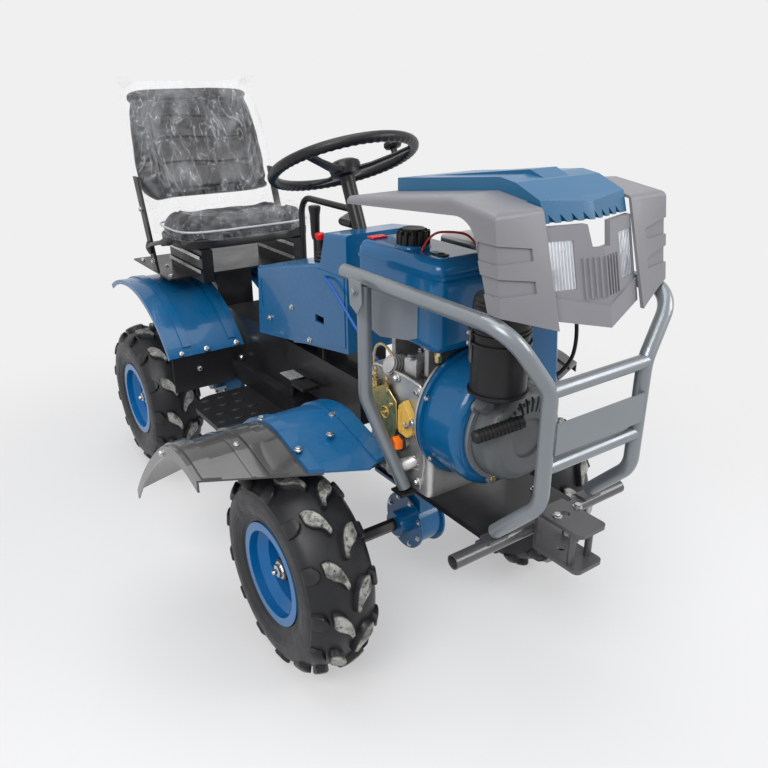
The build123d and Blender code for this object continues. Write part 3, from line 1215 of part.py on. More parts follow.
def foot_pedal():
    pad = block(PEDAL_OUT, PEDAL_AHEAD, (PEDAL_UP - PEDAL_THICK, PEDAL_UP))
    out = BACKBONE_OUT + PEDAL_ARM
    back = BACKBONE_FRONT - BACKBONE_WIDE / 2
    start_up = PEDAL_UP - PEDAL_ARM
    arm = pipe([at(out, PEDAL_AHEAD[1] - PEDAL_BEND, start_up), at(out, back, start_up - PEDAL_BEND),
                at(out, back, BACKBONE_UP + BACKBONE_HIGH / 2 + SEAT_GAP)], [PEDAL_BEND], PEDAL_ARM)
    return pad + arm


# Footboards, rear fenders and the sheets below them
BOARD_OUT = (BACKBONE_OUT + BACKBONE_WIDE / 2 + SEAT_GAP, 285.0)
BOARD_BACK_LEAD = 379.0
BOARD_FRONT_LEAD = 655.0
BOARD_AHEAD = (-WHEELBASE + BOARD_BACK_LEAD, -WHEELBASE + BOARD_FRONT_LEAD)
BOARD_UP = 360.0
BOARD_REAR_ROUND = 80.0
BOARD_FRONT_ROUND = 30.0
BOARD_LIP = 14.0
FENDER_RING = 390.0
REAR_FENDER_OUT = (66.0, 300.0)
REAR_FENDER_RIBS = [(98.0, 24.0), (240.0, 24.0)]
REAR_RIB_HIGH = 5.0
REAR_RIB_FROM = 40.0
REAR_FENDER_LIP = 14.0
REAR_FENDER_FROM = 36.0
REAR_FENDER_TO = 118.0
GUARD_OUT = (104.0, 292.0)


def footboards():
    board = block(BOARD_OUT, BOARD_AHEAD, (BOARD_UP - BOARD_LIP, BOARD_UP))
    outer = board.edges().filter_by(Axis.Z).filter_by(lambda e: e.center().X < -BOARD_OUT[0] - OVERRUN)
    rear = outer.sort_by(Axis.Y)[-1]
    board = fillet(rear, BOARD_REAR_ROUND)
    outer = board.edges().filter_by(Axis.Z).filter_by(lambda e: e.center().X < -BOARD_OUT[0] - OVERRUN)
    board = fillet(outer.sort_by(Axis.Y)[0], BOARD_FRONT_ROUND)
    return both_sides(offset(board, amount=-SHEET, openings=board.faces().sort_by(Axis.Z)[0]))


def ring_sector(radius, sheet, start, end, right_low, right_high, ahead):
    """A curved sheet about an axle, from one angle above ahead to another."""
    start_angle, end_angle = math.radians(start), math.radians(end)
    middle = (start_angle + end_angle) / 2

    def point(r, angle):
        return (ahead + r * math.cos(angle), AXLE_UP + r * math.sin(angle))

    outer = ThreePointArc(point(radius, start_angle), point(radius, middle), point(radius, end_angle))
    inside = radius - sheet
    inner = ThreePointArc(point(inside, end_angle), point(inside, middle), point(inside, start_angle))
    ends = Line(outer @ 1, inner @ 0) + Line(inner @ 1, outer @ 0)
    face = make_face(outer + inner + ends)
    return extrude(side_plane(right_low) * face, right_high - right_low)


def rear_fenders():
    body = ring_sector(FENDER_RING, FENDER_SHEET, REAR_FENDER_FROM, REAR_FENDER_TO, *REAR_FENDER_OUT, -WHEELBASE)
    for middle, wide in REAR_FENDER_RIBS:
        body += ring_sector(FENDER_RING + REAR_RIB_HIGH, REAR_RIB_HIGH + FENDER_SHEET / 2, REAR_RIB_FROM,
                            REAR_FENDER_TO - FENDER_SHEET, middle - wide / 2, middle + wide / 2, -WHEELBASE)
    outer = REAR_FENDER_OUT[1]
    body += ring_sector(FENDER_RING, REAR_FENDER_LIP, REAR_FENDER_FROM, REAR_FENDER_TO,
                        outer - FENDER_SHEET, outer, -WHEELBASE)
    return both_sides(body)


def mudguards():
    angle = math.radians(REAR_FENDER_FROM)
    inside = FENDER_RING - FENDER_SHEET - SEAT_GAP
    ahead = -WHEELBASE + inside * math.cos(angle)
    up = AXLE_UP + inside * math.sin(angle)
    return both_sides(block(GUARD_OUT, (ahead - SHEET, ahead), (BOARD_UP, up)))


# Seat on its plate
PLATE_SEAT_OUT = 231.0
PLATE_SEAT_OVERHANG = 130.0
PLATE_SEAT_LEAD = 195.0
PLATE_SEAT_AHEAD = (-WHEELBASE - PLATE_SEAT_OVERHANG, -WHEELBASE + PLATE_SEAT_LEAD)
PLATE_SEAT_UP = 672.0
PLATE_SEAT_THICK = 5.0
POST_OUT = 60.0
POST_OVERHANG = 25.0
POST_LEAD = 135.0
POST_AHEAD = (-WHEELBASE - POST_OVERHANG, -WHEELBASE + POST_LEAD)
RUNNER_OUT = 150.0
RUNNER_WIDE = 34.0
HANGER_OUT = (150.0, 190.0)
HANGER_HALF = 15.0
CUSHION_OUT = 212.0
CUSHION_BACK_LEAD = 45.0
CUSHION_FRONT_LEAD = 300.0
CUSHION_AHEAD = (-WHEELBASE + CUSHION_BACK_LEAD, -WHEELBASE + CUSHION_FRONT_LEAD)
CUSHION_UPS = (766.0, 862.0)
CUSHION_ROUND = 55.0
CUSHION_EDGE = 24.0
BACK_OUT = 222.0
BACK_OUTLINE_SHARES = [
    # (half width, height) as shares of the back's own
    (0.84, 0.0),
    (1.0, 0.13),
    (1.0, 0.42),
    (0.95, 0.76),
    (0.72, 1.0),
]
BACK_ROUND = 34.0
BACK_EDGE = 16.0
BACK_LOW_LEAD = 25.0
BACK_LOW_AHEAD = -WHEELBASE + BACK_LOW_LEAD
BACK_LEAN = 110.0
BACK_HIGH_AHEAD = BACK_LOW_AHEAD - BACK_LEAN
BACK_UPS = (872.0, 1208.0)
BACK_THICK = 72.0
ARM_WIDE = 8.0
ARM_DEEP = 34.0


def seat_frame():
    plate_top = PLATE_SEAT_UP
    body = block((-PLATE_SEAT_OUT, PLATE_SEAT_OUT), PLATE_SEAT_AHEAD, (plate_top - PLATE_SEAT_THICK, plate_top))
    post = block((-POST_OUT, POST_OUT), POST_AHEAD, (BACKBONE_UP + BACKBONE_HIGH / 2, plate_top - PLATE_SEAT_THICK))
    body += post
    for side in (-1, 1):
        body += block((side * RUNNER_OUT - RUNNER_WIDE / 2, side * RUNNER_OUT + RUNNER_WIDE / 2),
                      CUSHION_AHEAD, (plate_top, CUSHION_UPS[0] - SEAT_GAP))
        low, high = sorted((side * HANGER_OUT[0], side * HANGER_OUT[1]))
        body += block((low, high), (-WHEELBASE - HANGER_HALF, -WHEELBASE + HANGER_HALF),
                      (AXLE_UP + FENDER_RING + SEAT_GAP, plate_top - PLATE_SEAT_THICK))
    return body


def seat_arms():
    slope = (BACK_HIGH_AHEAD - BACK_LOW_AHEAD) / (BACK_UPS[1] - BACK_UPS[0])
    low = PLATE_SEAT_UP + SEAT_GAP
    high = BACK_UPS[0] + BACK_THICK
    foot = BACK_LOW_AHEAD + slope * (low - BACK_UPS[0])
    head = BACK_LOW_AHEAD + slope * (high - BACK_UPS[0])
    outline = [(foot - ARM_DEEP, low), (foot, low), (head, high), (head - ARM_DEEP, high)]
    arm = prism(outline, BACK_OUT + SEAT_GAP, BACK_OUT + SEAT_GAP + ARM_WIDE)
    return both_sides(arm)


def seat_cushion():
    body = block((-CUSHION_OUT, CUSHION_OUT), CUSHION_AHEAD, CUSHION_UPS)
    body = fillet(body.edges().filter_by(Axis.Z), CUSHION_ROUND)
    return fillet(body.edges().group_by(Axis.Z)[-1], CUSHION_EDGE)


def seat_back():
    (low, high) = BACK_UPS
    lean = math.atan2(BACK_LOW_AHEAD - BACK_HIGH_AHEAD, high - low)
    long = (high - low) / math.cos(lean)
    right = [(out * BACK_OUT, up * long) for out, up in BACK_OUTLINE_SHARES]
    left = [(-out, up) for out, up in reversed(right)]
    face = make_face(Polyline(*right, *left, close=True))
    face = fillet(face.vertices(), BACK_ROUND)
    front = Plane(origin=at(0, BACK_LOW_AHEAD, low), x_dir=(-1, 0, 0), z_dir=(0, math.cos(lean), -math.sin(lean)))
    body = extrude(front * face, BACK_THICK * math.cos(lean))
    return fillet(body.edges().filter_by(lambda e: abs(front.to_local_coords(e.center()).Z) < SHEET), BACK_EDGE)


def write(name, shape):
    """One STEP file, holding one solid or several that don't touch."""
    solids = []
    for piece in shape if isinstance(shape, list) else [shape]:
        solids += piece.solids()
    whole = solids[0] if len(solids) == 1 else Compound(solids)
    whole.label = name
    export_step(whole, os.path.join("parts", name + ".step"))


os.makedirs("parts", exist_ok=True)

one_tyre = tyre()
one_rim = rim()
for wheel_name, (wheel_right, wheel_ahead) in WHEELS.items():
    write("tyre_" + wheel_name, place_wheel(one_tyre, wheel_name))
    write("rim_" + wheel_name, place_wheel(one_rim, wheel_name))
    write("shaft_" + wheel_name, place_wheel(drive_shaft(abs(wheel_right)), wheel_name))

PIECES = {
    "front_drive_case": lambda: drive_case(0, PLATE_UP - PLATE_THICK - RAIL_HIGH),
    "front_chassis": front_chassis,
    "bumper_frame": bumper_frame,
    "bumper_struts": bumper_struts,
    "bumper_panel": bumper_panel,
    "front_hitch": front_hitch,
    "hood_shell": hood_shell,
    "hood_top_panel": hood_top_panel,
    "hood_grille": hood_grille,
    "headlamps": headlamps,
    "engine_block": engine_block,
    "fan_cowl": fan_cowl,
    "recoil_starter": recoil_starter,
    "fuel_tank": fuel_tank,
    "tank_cap": tank_cap,
    "air_filter": air_filter,
    "exhaust_muffler": exhaust_muffler,
    "front_fender_inner": front_fender_inner,
    "front_fender_outer": front_fender_outer,
    "rear_chassis": rear_chassis,
    "gearbox": gearbox,
    "rear_drive_case": lambda: drive_case(-WHEELBASE, BACKBONE_UP - BACKBONE_HIGH / 2),
    "dash_cover": dash_cover,
    "steering_wheel": steering_wheel,
    "steering_column": steering_column,
    "hand_rail": hand_rail,
    "gear_levers": gear_levers,
    "foot_pedal": foot_pedal,
    "footboards": footboards,
    "rear_fenders": rear_fenders,
    "mudguards": mudguards,
    "seat_frame": seat_frame,
    "seat_arms": seat_arms,
    "seat_cushion": seat_cushion,
    "seat_back": seat_back,
}
for piece_name, make in PIECES.items():
    write(piece_name, make())
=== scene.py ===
"""Looks of the mini tractor: materials, tyres, seat, fasteners, light and camera.

Metres throughout. right, ahead and up are measured from the middle of the front
axle, on the floor, as in the part's own source.
"""
import math

import bmesh
import bpy
from mathutils import Matrix, Vector, noise


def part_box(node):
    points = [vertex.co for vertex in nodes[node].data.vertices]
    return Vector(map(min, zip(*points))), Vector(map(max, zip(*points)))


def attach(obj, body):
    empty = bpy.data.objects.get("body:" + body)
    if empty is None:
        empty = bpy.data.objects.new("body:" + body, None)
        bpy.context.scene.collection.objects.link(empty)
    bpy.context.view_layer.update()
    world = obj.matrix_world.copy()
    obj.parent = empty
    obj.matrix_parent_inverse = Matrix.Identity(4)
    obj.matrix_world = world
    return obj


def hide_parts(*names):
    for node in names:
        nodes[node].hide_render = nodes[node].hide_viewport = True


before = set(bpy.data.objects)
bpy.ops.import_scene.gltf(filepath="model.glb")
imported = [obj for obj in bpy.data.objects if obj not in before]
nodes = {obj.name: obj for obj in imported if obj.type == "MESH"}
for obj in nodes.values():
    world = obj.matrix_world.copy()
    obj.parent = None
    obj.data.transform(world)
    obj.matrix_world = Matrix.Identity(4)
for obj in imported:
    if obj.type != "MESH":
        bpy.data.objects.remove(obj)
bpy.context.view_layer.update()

FRONT_AXLE_Y = -0.4215
AXLE_UP = 0.24
PHOTO_WIDTH = 768
RIGHT = Vector((-1, 0, 0))
AHEAD = Vector((0, -1, 0))
UP = Vector((0, 0, 1))


def at(right, ahead, up):
    """A point given from the front axle, in the frame."""
    return Vector((-right, FRONT_AXLE_Y - ahead, up))


def placed(name, data):
    """A new object in the scene."""
    made = bpy.data.objects.new(name, data)
    bpy.context.scene.collection.objects.link(made)
    return made


# Camera
CAMERA_RIGHT = 0.954
CAMERA_AHEAD = 1.222
CAMERA_UP = 1.24
CAMERA_TURN = math.radians(-35.182)
CAMERA_RAISE = math.radians(22.861)
CAMERA_ROLL = math.radians(-0.236)
FOCAL_PIXELS = 745.663
SENSOR = 36.0


def add_camera():
    back = Vector((math.sin(CAMERA_TURN) * math.cos(CAMERA_RAISE),
                   -math.cos(CAMERA_TURN) * math.cos(CAMERA_RAISE),
                   math.sin(CAMERA_RAISE)))
    side = (-back).cross(UP).normalized()
    top = side.cross(-back)
    axis_x = side * math.cos(CAMERA_ROLL) + top * math.sin(CAMERA_ROLL)
    axis_y = top * math.cos(CAMERA_ROLL) - side * math.sin(CAMERA_ROLL)
    turn = Matrix((axis_x, axis_y, back)).transposed().to_4x4()
    data = bpy.data.cameras.new("camera")
    data.sensor_width = SENSOR
    data.lens = FOCAL_PIXELS / PHOTO_WIDTH * SENSOR
    data.clip_start = 0.05
    camera = placed("camera", data)
    camera.matrix_world = Matrix.Translation(at(CAMERA_RIGHT, CAMERA_AHEAD, CAMERA_UP)) @ turn
    bpy.context.scene.camera = camera


add_camera()


# Materials
class Shade:
    """A material with its nodes made by short calls."""

    def __init__(self, name, colour, rough=0.5, metal=0.0, coat=0.0, coat_rough=0.1, specular=0.5):
        self.material = bpy.data.materials.new(name)
        self.material.use_nodes = True
        self.tree = self.material.node_tree
        self.shader = self.tree.nodes["Principled BSDF"]
        self.put("Base Color", (*colour, 1.0))
        self.put("Roughness", rough)
        self.put("Metallic", metal)
        self.put("Coat Weight", coat)
        self.put("Coat Roughness", coat_rough)
        self.put("Specular IOR Level", specular)
        self.coords = self.tree.nodes.new("ShaderNodeTexCoord").outputs["Object"]
        self.height = None

    def put(self, socket, value):
        self.shader.inputs[socket].default_value = value

    def link(self, output, node_input):
        self.tree.links.new(output, node_input)

    def noise(self, scale, detail=3.0, rough=0.55, stretch=(1, 1, 1), distortion=0.0):
        mapping = self.tree.nodes.new("ShaderNodeMapping")
        mapping.inputs["Scale"].default_value = stretch
        self.link(self.coords, mapping.inputs["Vector"])
        texture = self.tree.nodes.new("ShaderNodeTexNoise")
        texture.inputs["Scale"].default_value = scale
        texture.inputs["Detail"].default_value = detail
        texture.inputs["Roughness"].default_value = rough
        texture.inputs["Distortion"].default_value = distortion
        self.link(mapping.outputs["Vector"], texture.inputs["Vector"])
        return texture.outputs["Fac"]

    def cells(self, scale, feature="F1"):
        texture = self.tree.nodes.new("ShaderNodeTexVoronoi")
        texture.feature = feature
        texture.inputs["Scale"].default_value = scale
        self.link(self.coords, texture.inputs["Vector"])
        return texture.outputs["Distance"]

    def between(self, factor, low, high, start=0.0, end=1.0):
        """A factor turned into a value between low and high."""
        node = self.tree.nodes.new("ShaderNodeMapRange")
        self.link(factor, node.inputs["Value"])
        node.inputs["From Min"].default_value = start
        node.inputs["From Max"].default_value = end
        node.inputs["To Min"].default_value = low
        node.inputs["To Max"].default_value = high
        return node.outputs["Result"]

    def times(self, first, second, kind="MULTIPLY"):
        node = self.tree.nodes.new("ShaderNodeMath")
        node.operation = kind
        for socket, value in zip(node.inputs, (first, second)):
            if isinstance(value, (int, float)):
                socket.default_value = value
            else:
                self.link(value, socket)
        return node.outputs[0]

    def blend(self, factor, first, second):
        """Colours mixed by a factor; each is a colour or an output."""
        node = self.tree.nodes.new("ShaderNodeMix")
        node.data_type = "RGBA"
        self.link(factor, node.inputs["Factor"])
        for name, value in (("A", first), ("B", second)):
            sockets = [s for s in node.inputs if s.name == name and s.type == "RGBA"]
            if isinstance(value, tuple):
                sockets[0].default_value = (*value, 1.0)
            else:
                self.link(value, sockets[0])
        return [s for s in node.outputs if s.type == "RGBA"][0]

    def mark(self, name):
        """A value that the mesh carries at each of its points."""
        node = self.tree.nodes.new("ShaderNodeAttribute")
        node.attribute_name = name
        return node.outputs["Fac"]

    def upward(self, low=0.3, high=1.0):
        """How far the surface faces up, from 0 to 1."""
        geometry = self.tree.nodes.new("ShaderNodeNewGeometry")
        split = self.tree.nodes.new("ShaderNodeSeparateXYZ")
        self.link(geometry.outputs["Normal"], split.inputs[0])
        return self.between(split.outputs["Z"], low, high)

    def crevice(self, distance=0.02, low=0.35, high=0.95):
        """1 in corners and narrow gaps, 0 on open faces."""
        node = self.tree.nodes.new("ShaderNodeAmbientOcclusion")
        node.samples = 4
        node.inputs["Distance"].default_value = distance
        return self.between(node.outputs["AO"], 1.0, 0.0, low, high)

    def colour(self, output):
        self.link(output, self.shader.inputs["Base Color"])

    def rough(self, output):
        self.link(output, self.shader.inputs["Roughness"])

    def bump(self, factor, distance, strength=1.0):
        node = self.tree.nodes.new("ShaderNodeBump")
        node.inputs["Distance"].default_value = distance
        node.inputs["Strength"].default_value = strength
        self.link(factor, node.inputs["Height"])
        if self.height is not None:
            self.link(self.height, node.inputs["Normal"])
        self.height = node.outputs["Normal"]
        self.link(self.height, self.shader.inputs["Normal"])


def scaled(colour, share):
    return tuple(min(1.0, c * share) for c in colour)


def enamel(name, colour, rough, dust, coat=0.3, wave=0.0004, metal=0.0, specular=0.3, flake=None):
    """Sprayed enamel: slow waves, fine orange peel, patchy gloss and dust on what faces up."""
    shade = Shade(name, colour, rough, metal, coat, 0.05, specular)
    patches = shade.noise(9.0, 4.0, 0.6)
    dirt = shade.times(shade.upward(0.2, 1.0), shade.between(patches, 0.0, 1.0, 0.42, 0.75))
    dirt = shade.times(dirt, dust)
    base = shade.blend(shade.noise(3.0, 2.0), scaled(colour, 0.82), scaled(colour, 1.12))
    if flake:
        sparkle = shade.between(shade.cells(1400.0), 0.25, 0.0, 0.0, 0.5)
        base = shade.blend(sparkle, base, flake)
    shade.colour(shade.blend(dirt, base, (0.36, 0.35, 0.33)))
    gloss = shade.between(patches, rough * 0.8, rough * 1.25, 0.35, 0.7)
    shade.rough(shade.times(gloss, shade.times(dirt, 0.3), "ADD"))
    shade.bump(shade.noise(26.0, 2.0), wave, 0.35)
    shade.bump(shade.noise(420.0, 2.0), 0.00005, 0.25)
    return shade.material


def moulded(name, colour, rough, grain=900.0, depth=0.00006, spread=0.12, specular=0.3):
    """Moulded plastic: fine grain, faint flow patches."""
    shade = Shade(name, colour, rough, 0.0, 0.0, 0.2, specular)
    patches = shade.noise(6.0, 4.0, 0.6)
    shade.colour(shade.blend(patches, scaled(colour, 1 - spread), scaled(colour, 1 + spread)))
    shade.rough(shade.between(shade.noise(30.0, 3.0), rough * 0.85, rough * 1.15, 0.3, 0.7))
    shade.bump(shade.cells(grain), depth, 0.6)
    return shade.material


def cast(name, colour, rough=0.42, grain=260.0):
    """Cast metal: sandy skin, hollows darkened as painted shade, brighter where handled."""
    shade = Shade(name, colour, rough, 0.85)
    stain = shade.noise(16.0, 5.0, 0.65)
    # Painted shade: corners and narrow gaps darken towards 0.3 of the colour.
    hollow_shade = shade.crevice(0.02)
    open_face = shade.blend(shade.between(stain, 0.0, 1.0, 0.35, 0.7), scaled(colour, 0.72), colour)
    shade.colour(shade.blend(hollow_shade, open_face, scaled(colour, 0.3)))
    shade.rough(shade.between(stain, rough * 0.75, rough * 1.35, 0.3, 0.7))
    shade.bump(shade.noise(grain, 4.0, 0.7), 0.0004, 0.5)
    return shade.material


def plated(name, colour=(0.62, 0.62, 0.62), rough=0.24):
    """Plated steel of bolts, clips and pins."""
    shade = Shade(name, colour, rough, 1.0)
    stain = shade.noise(60.0, 4.0, 0.6)
    shade.colour(shade.blend(stain, scaled(colour, 0.75), colour))
    shade.rough(shade.between(stain, rough * 0.7, rough * 1.6, 0.3, 0.7))
    shade.bump(shade.noise(300.0, 2.0), 0.00005, 0.3)
    return shade.material


def rubber(name, colour=(0.013, 0.0135, 0.015), dusty=(0.27, 0.285, 0.27)):
    """Tyre rubber: satin black, with pale speckled dust on the tops of the middle lugs."""
    shade = Shade(name, colour, 0.4, 0.0, 0.0, 0.1, 0.3)
    patches = shade.noise(34.0, 5.0, 0.68)
    specks = shade.noise(150.0, 3.0, 0.6)
    shown = shade.times(shade.between(patches, 0.15, 1.0, 0.38, 0.58),
                        shade.between(specks, 0.1, 1.0, 0.32, 0.46))
    on_top = shade.times(shade.mark("tread_top"), shown)
    film = shade.between(shade.noise(7.0, 5.0, 0.65), 0.0, 0.1, 0.42, 0.75)
    base = shade.blend(film, colour, (0.12, 0.12, 0.115))
    tint = shade.blend(specks, dusty, (0.44, 0.43, 0.38))
    shade.colour(shade.blend(on_top, base, tint))
    shade.rough(shade.times(shade.between(patches, 0.32, 0.52, 0.3, 0.7), shade.times(on_top, 0.3), "ADD"))
    shade.bump(shade.noise(240.0, 3.0, 0.65), 0.00025, 0.4)
    return shade.material


def vinyl(name):
    """Black grained seat vinyl."""
    shade = Shade(name, (0.012, 0.012, 0.013), 0.34, 0.0, 0.1, 0.25, 0.35)
    shade.rough(shade.between(shade.noise(20.0, 3.0), 0.28, 0.44, 0.3, 0.7))
    shade.colour(shade.blend(shade.noise(8.0, 3.0), (0.009, 0.009, 0.01), (0.02, 0.02, 0.022)))
    shade.bump(shade.cells(520.0, "SMOOTH_F1"), 0.0004, 0.5)
    return shade.material


def clear_film(name):
    """Thin clear wrapping film: mostly see-through, pale along its creases, partly for the film's own
    whitening at folds and partly as painted highlight.
    """
    shade = Shade(name, (0.74, 0.76, 0.79), 0.14, 0.0, 0.0, 0.1, 0.7)
    crumple = shade.noise(13.0, 4.0, 0.55, (1.0, 1.0, 0.45), 1.4)
    fine = shade.noise(60.0, 4.0, 0.6, (1, 1, 0.6), 1.2)
    ridge = shade.times(crumple, 0.5, "SUBTRACT")
    # Partly painted highlight: along the crumple's ridges the pale film turns more opaque, for its fold
    # whitening and for the highlights on the creases.
    crease_and_highlight = shade.between(shade.times(ridge, 0.0, "ABSOLUTE"), 0.24, 0.0, 0.0, 0.014)
    soft = shade.noise(11.0, 3.0, 0.5, (1, 1, 0.6), 0.8)
    haze = shade.times(shade.between(fine, 0.02, 0.08, 0.45, 0.7),
                       shade.between(soft, 0.0, 0.13, 0.46, 0.66), "ADD")
    shade.link(shade.times(crease_and_highlight, haze, "ADD"), shade.shader.inputs["Alpha"])
    shade.bump(crumple, 0.01, 1.0)
    shade.bump(fine, 0.002, 0.8)
    return shade.material


def lamp_lens(name):
    """A fluted lamp lens over a bright reflector, whose look is painted reflection: light and dark stripes
    along the flutes and darker patches.
    """
    shade = Shade(name, (0.52, 0.54, 0.58), 0.12, 0.6, 0.8, 0.05)
    flutes = shade.tree.nodes.new("ShaderNodeTexWave")
    flutes.bands_direction = "X"
    flutes.inputs["Scale"].default_value = 55.0
    shade.link(shade.coords, flutes.inputs["Vector"])
    bars = flutes.outputs["Fac"]
    # Painted reflection: light and dark stripes along the flutes, with darker patches mixed over them.
    dark_reflection_patches = shade.noise(30.0, 3.0)
    lit = shade.blend(bars, (0.4, 0.42, 0.46), (0.66, 0.68, 0.72))
    shade.colour(shade.blend(shade.between(dark_reflection_patches, 0.0, 0.55, 0.45, 0.62), lit, (0.2, 0.21, 0.24)))
    shade.bump(bars, 0.0012, 0.8)
    return shade.material


BLUE = (0.003, 0.098, 0.245)
LOOKS = {
    "blue": enamel("blue_enamel", BLUE, 0.28, 0.06, 0.35, specular=0.2),
    "hood_blue": enamel("hood_blue_enamel", (0.01, 0.095, 0.2), 0.34, 0.04, 0.2, flake=(0.05, 0.2, 0.4)),
    "engine_blue": enamel("engine_blue_enamel", (0.002, 0.095, 0.24), 0.22, 0.04, 0.4, 0.0002, specular=0.2),
    "rim_blue": enamel("rim_blue_enamel", (0.001, 0.12, 0.34), 0.22, 0.05, 0.4, 0.0002, specular=0.15),
    "black_steel": enamel("black_steel_enamel", (0.01, 0.01, 0.011), 0.36, 0.07, 0.1, specular=0.25),
    "tube_grey": enamel("tube_grey_enamel", (0.22, 0.24, 0.26), 0.34, 0.03, 0.3, 0.0001, 0.45),
    "strut_grey": enamel("strut_grey_enamel", (0.2, 0.22, 0.24), 0.38, 0.03, 0.3, 0.0001, 0.45),
    "hitch_grey": enamel("hitch_grey_enamel", (0.095, 0.095, 0.1), 0.34, 0.03, 0.3, 0.0001, 0.45),
    "dark_grey": enamel("dark_grey_enamel", (0.045, 0.043, 0.044), 0.2, 0.1, 0.5, 0.0008, specular=0.4),
    "hood_grey": moulded("hood_grey_plastic", (0.175, 0.174, 0.187), 0.36),
    "face_grey": moulded("face_grey_plastic", (0.19, 0.19, 0.205), 0.36),
    "black_plastic": moulded("black_plastic_moulding", (0.01, 0.01, 0.011), 0.36, specular=0.3),
    "dark_plastic": moulded("dark_plastic_moulding", (0.105, 0.112, 0.116), 0.34),
    "floor_rubber": moulded("floor_rubber_sheet", (0.012, 0.012, 0.013), 0.42, 500.0, 0.0002),
    "aluminium": cast("cast_aluminium_skin", (0.66, 0.66, 0.65)),
    "iron": cast("dark_cast_skin", (0.2, 0.2, 0.2)),
    "plated": plated("zinc_plate"),
    "gold": plated("yellow_zinc_plate", (0.7, 0.52, 0.2), 0.28),
    "brass": plated("brass_fitting", (0.72, 0.56, 0.28), 0.22),
    "chrome": plated("chrome_plate", (0.78, 0.79, 0.81), 0.08),
    "rubber": rubber("tyre_rubber_skin"),
    "hose": moulded("hose_rubber", (0.012, 0.012, 0.012), 0.5, 600.0, 0.0001),
    "vinyl": vinyl("seat_vinyl_skin"),
    "piping": moulded("pale_piping_cord", (0.42, 0.43, 0.45), 0.4),
    "film": clear_film("clear_film_sheet"),
    "lamp": lamp_lens("lamp_lens_glass"),
    "orange": moulded("orange_plastic", (0.86, 0.17, 0.01), 0.35),
    "yellow": moulded("yellow_plastic", (0.66, 0.42, 0.09), 0.34),
    "red": moulded("red_plastic", (0.62, 0.008, 0.008), 0.28),
    "amber_hose": moulded("pale_hose", (0.55, 0.42, 0.2), 0.35),
    "pad_grey": moulded("pedal_pad_grey", (0.3, 0.31, 0.32), 0.5),
    "plate_grey": moulded("blank_plate_grey", (0.17, 0.19, 0.22), 0.34),
    "blue_cable": moulded("blue_cable_sheath", (0.01, 0.1, 0.42), 0.32),
    "red_wire": moulded("red_wire_sheath", (0.45, 0.02, 0.02), 0.36),
}

NODE_LOOKS = {
    "bumper_frame": "tube_grey", "bumper_struts": "strut_grey", "bumper_panel": "tube_grey",
    "front_hitch": "hitch_grey",
    "hood_shell": "hood_grey", "hood_top_panel": "hood_blue",
    "hood_grille": "face_grey", "headlamps": "lamp", "engine_block": "aluminium",
    "fan_cowl": "engine_blue", "recoil_starter": "dark_plastic", "fuel_tank": "engine_blue",
    "tank_cap": "black_plastic", "air_filter": "black_plastic",
    "front_fender_inner": "blue", "front_fender_outer": "dark_grey", "dash_cover": "blue",
    "steering_wheel": "black_plastic", "footboards": "floor_rubber",
    "rear_fenders": "blue", "mudguards": "floor_rubber",
    "seat_arms": "black_plastic", "seat_cushion": "vinyl", "seat_back": "vinyl",
    "front_drive_case": "engine_blue", "rear_drive_case": "engine_blue",
}


def look_of(name):
    if name in NODE_LOOKS:
        return NODE_LOOKS[name]
    if name.startswith("tyre"):
        return "rubber"
    if name.startswith("rim"):
        return "rim_blue"
    return "black_steel"


for node_name, node in nodes.items():
    node.data.materials.clear()
    node.data.materials.append(LOOKS[look_of(node_name)])


# Forms that the pieces are made from
SHARP = math.radians(38)


def square_to(axis):
    """The unit axis, and two directions square to it and to each other."""
    axis = Vector(axis).normalized()
    first = axis.orthogonal().normalized()
    return axis, first, axis.cross(first)


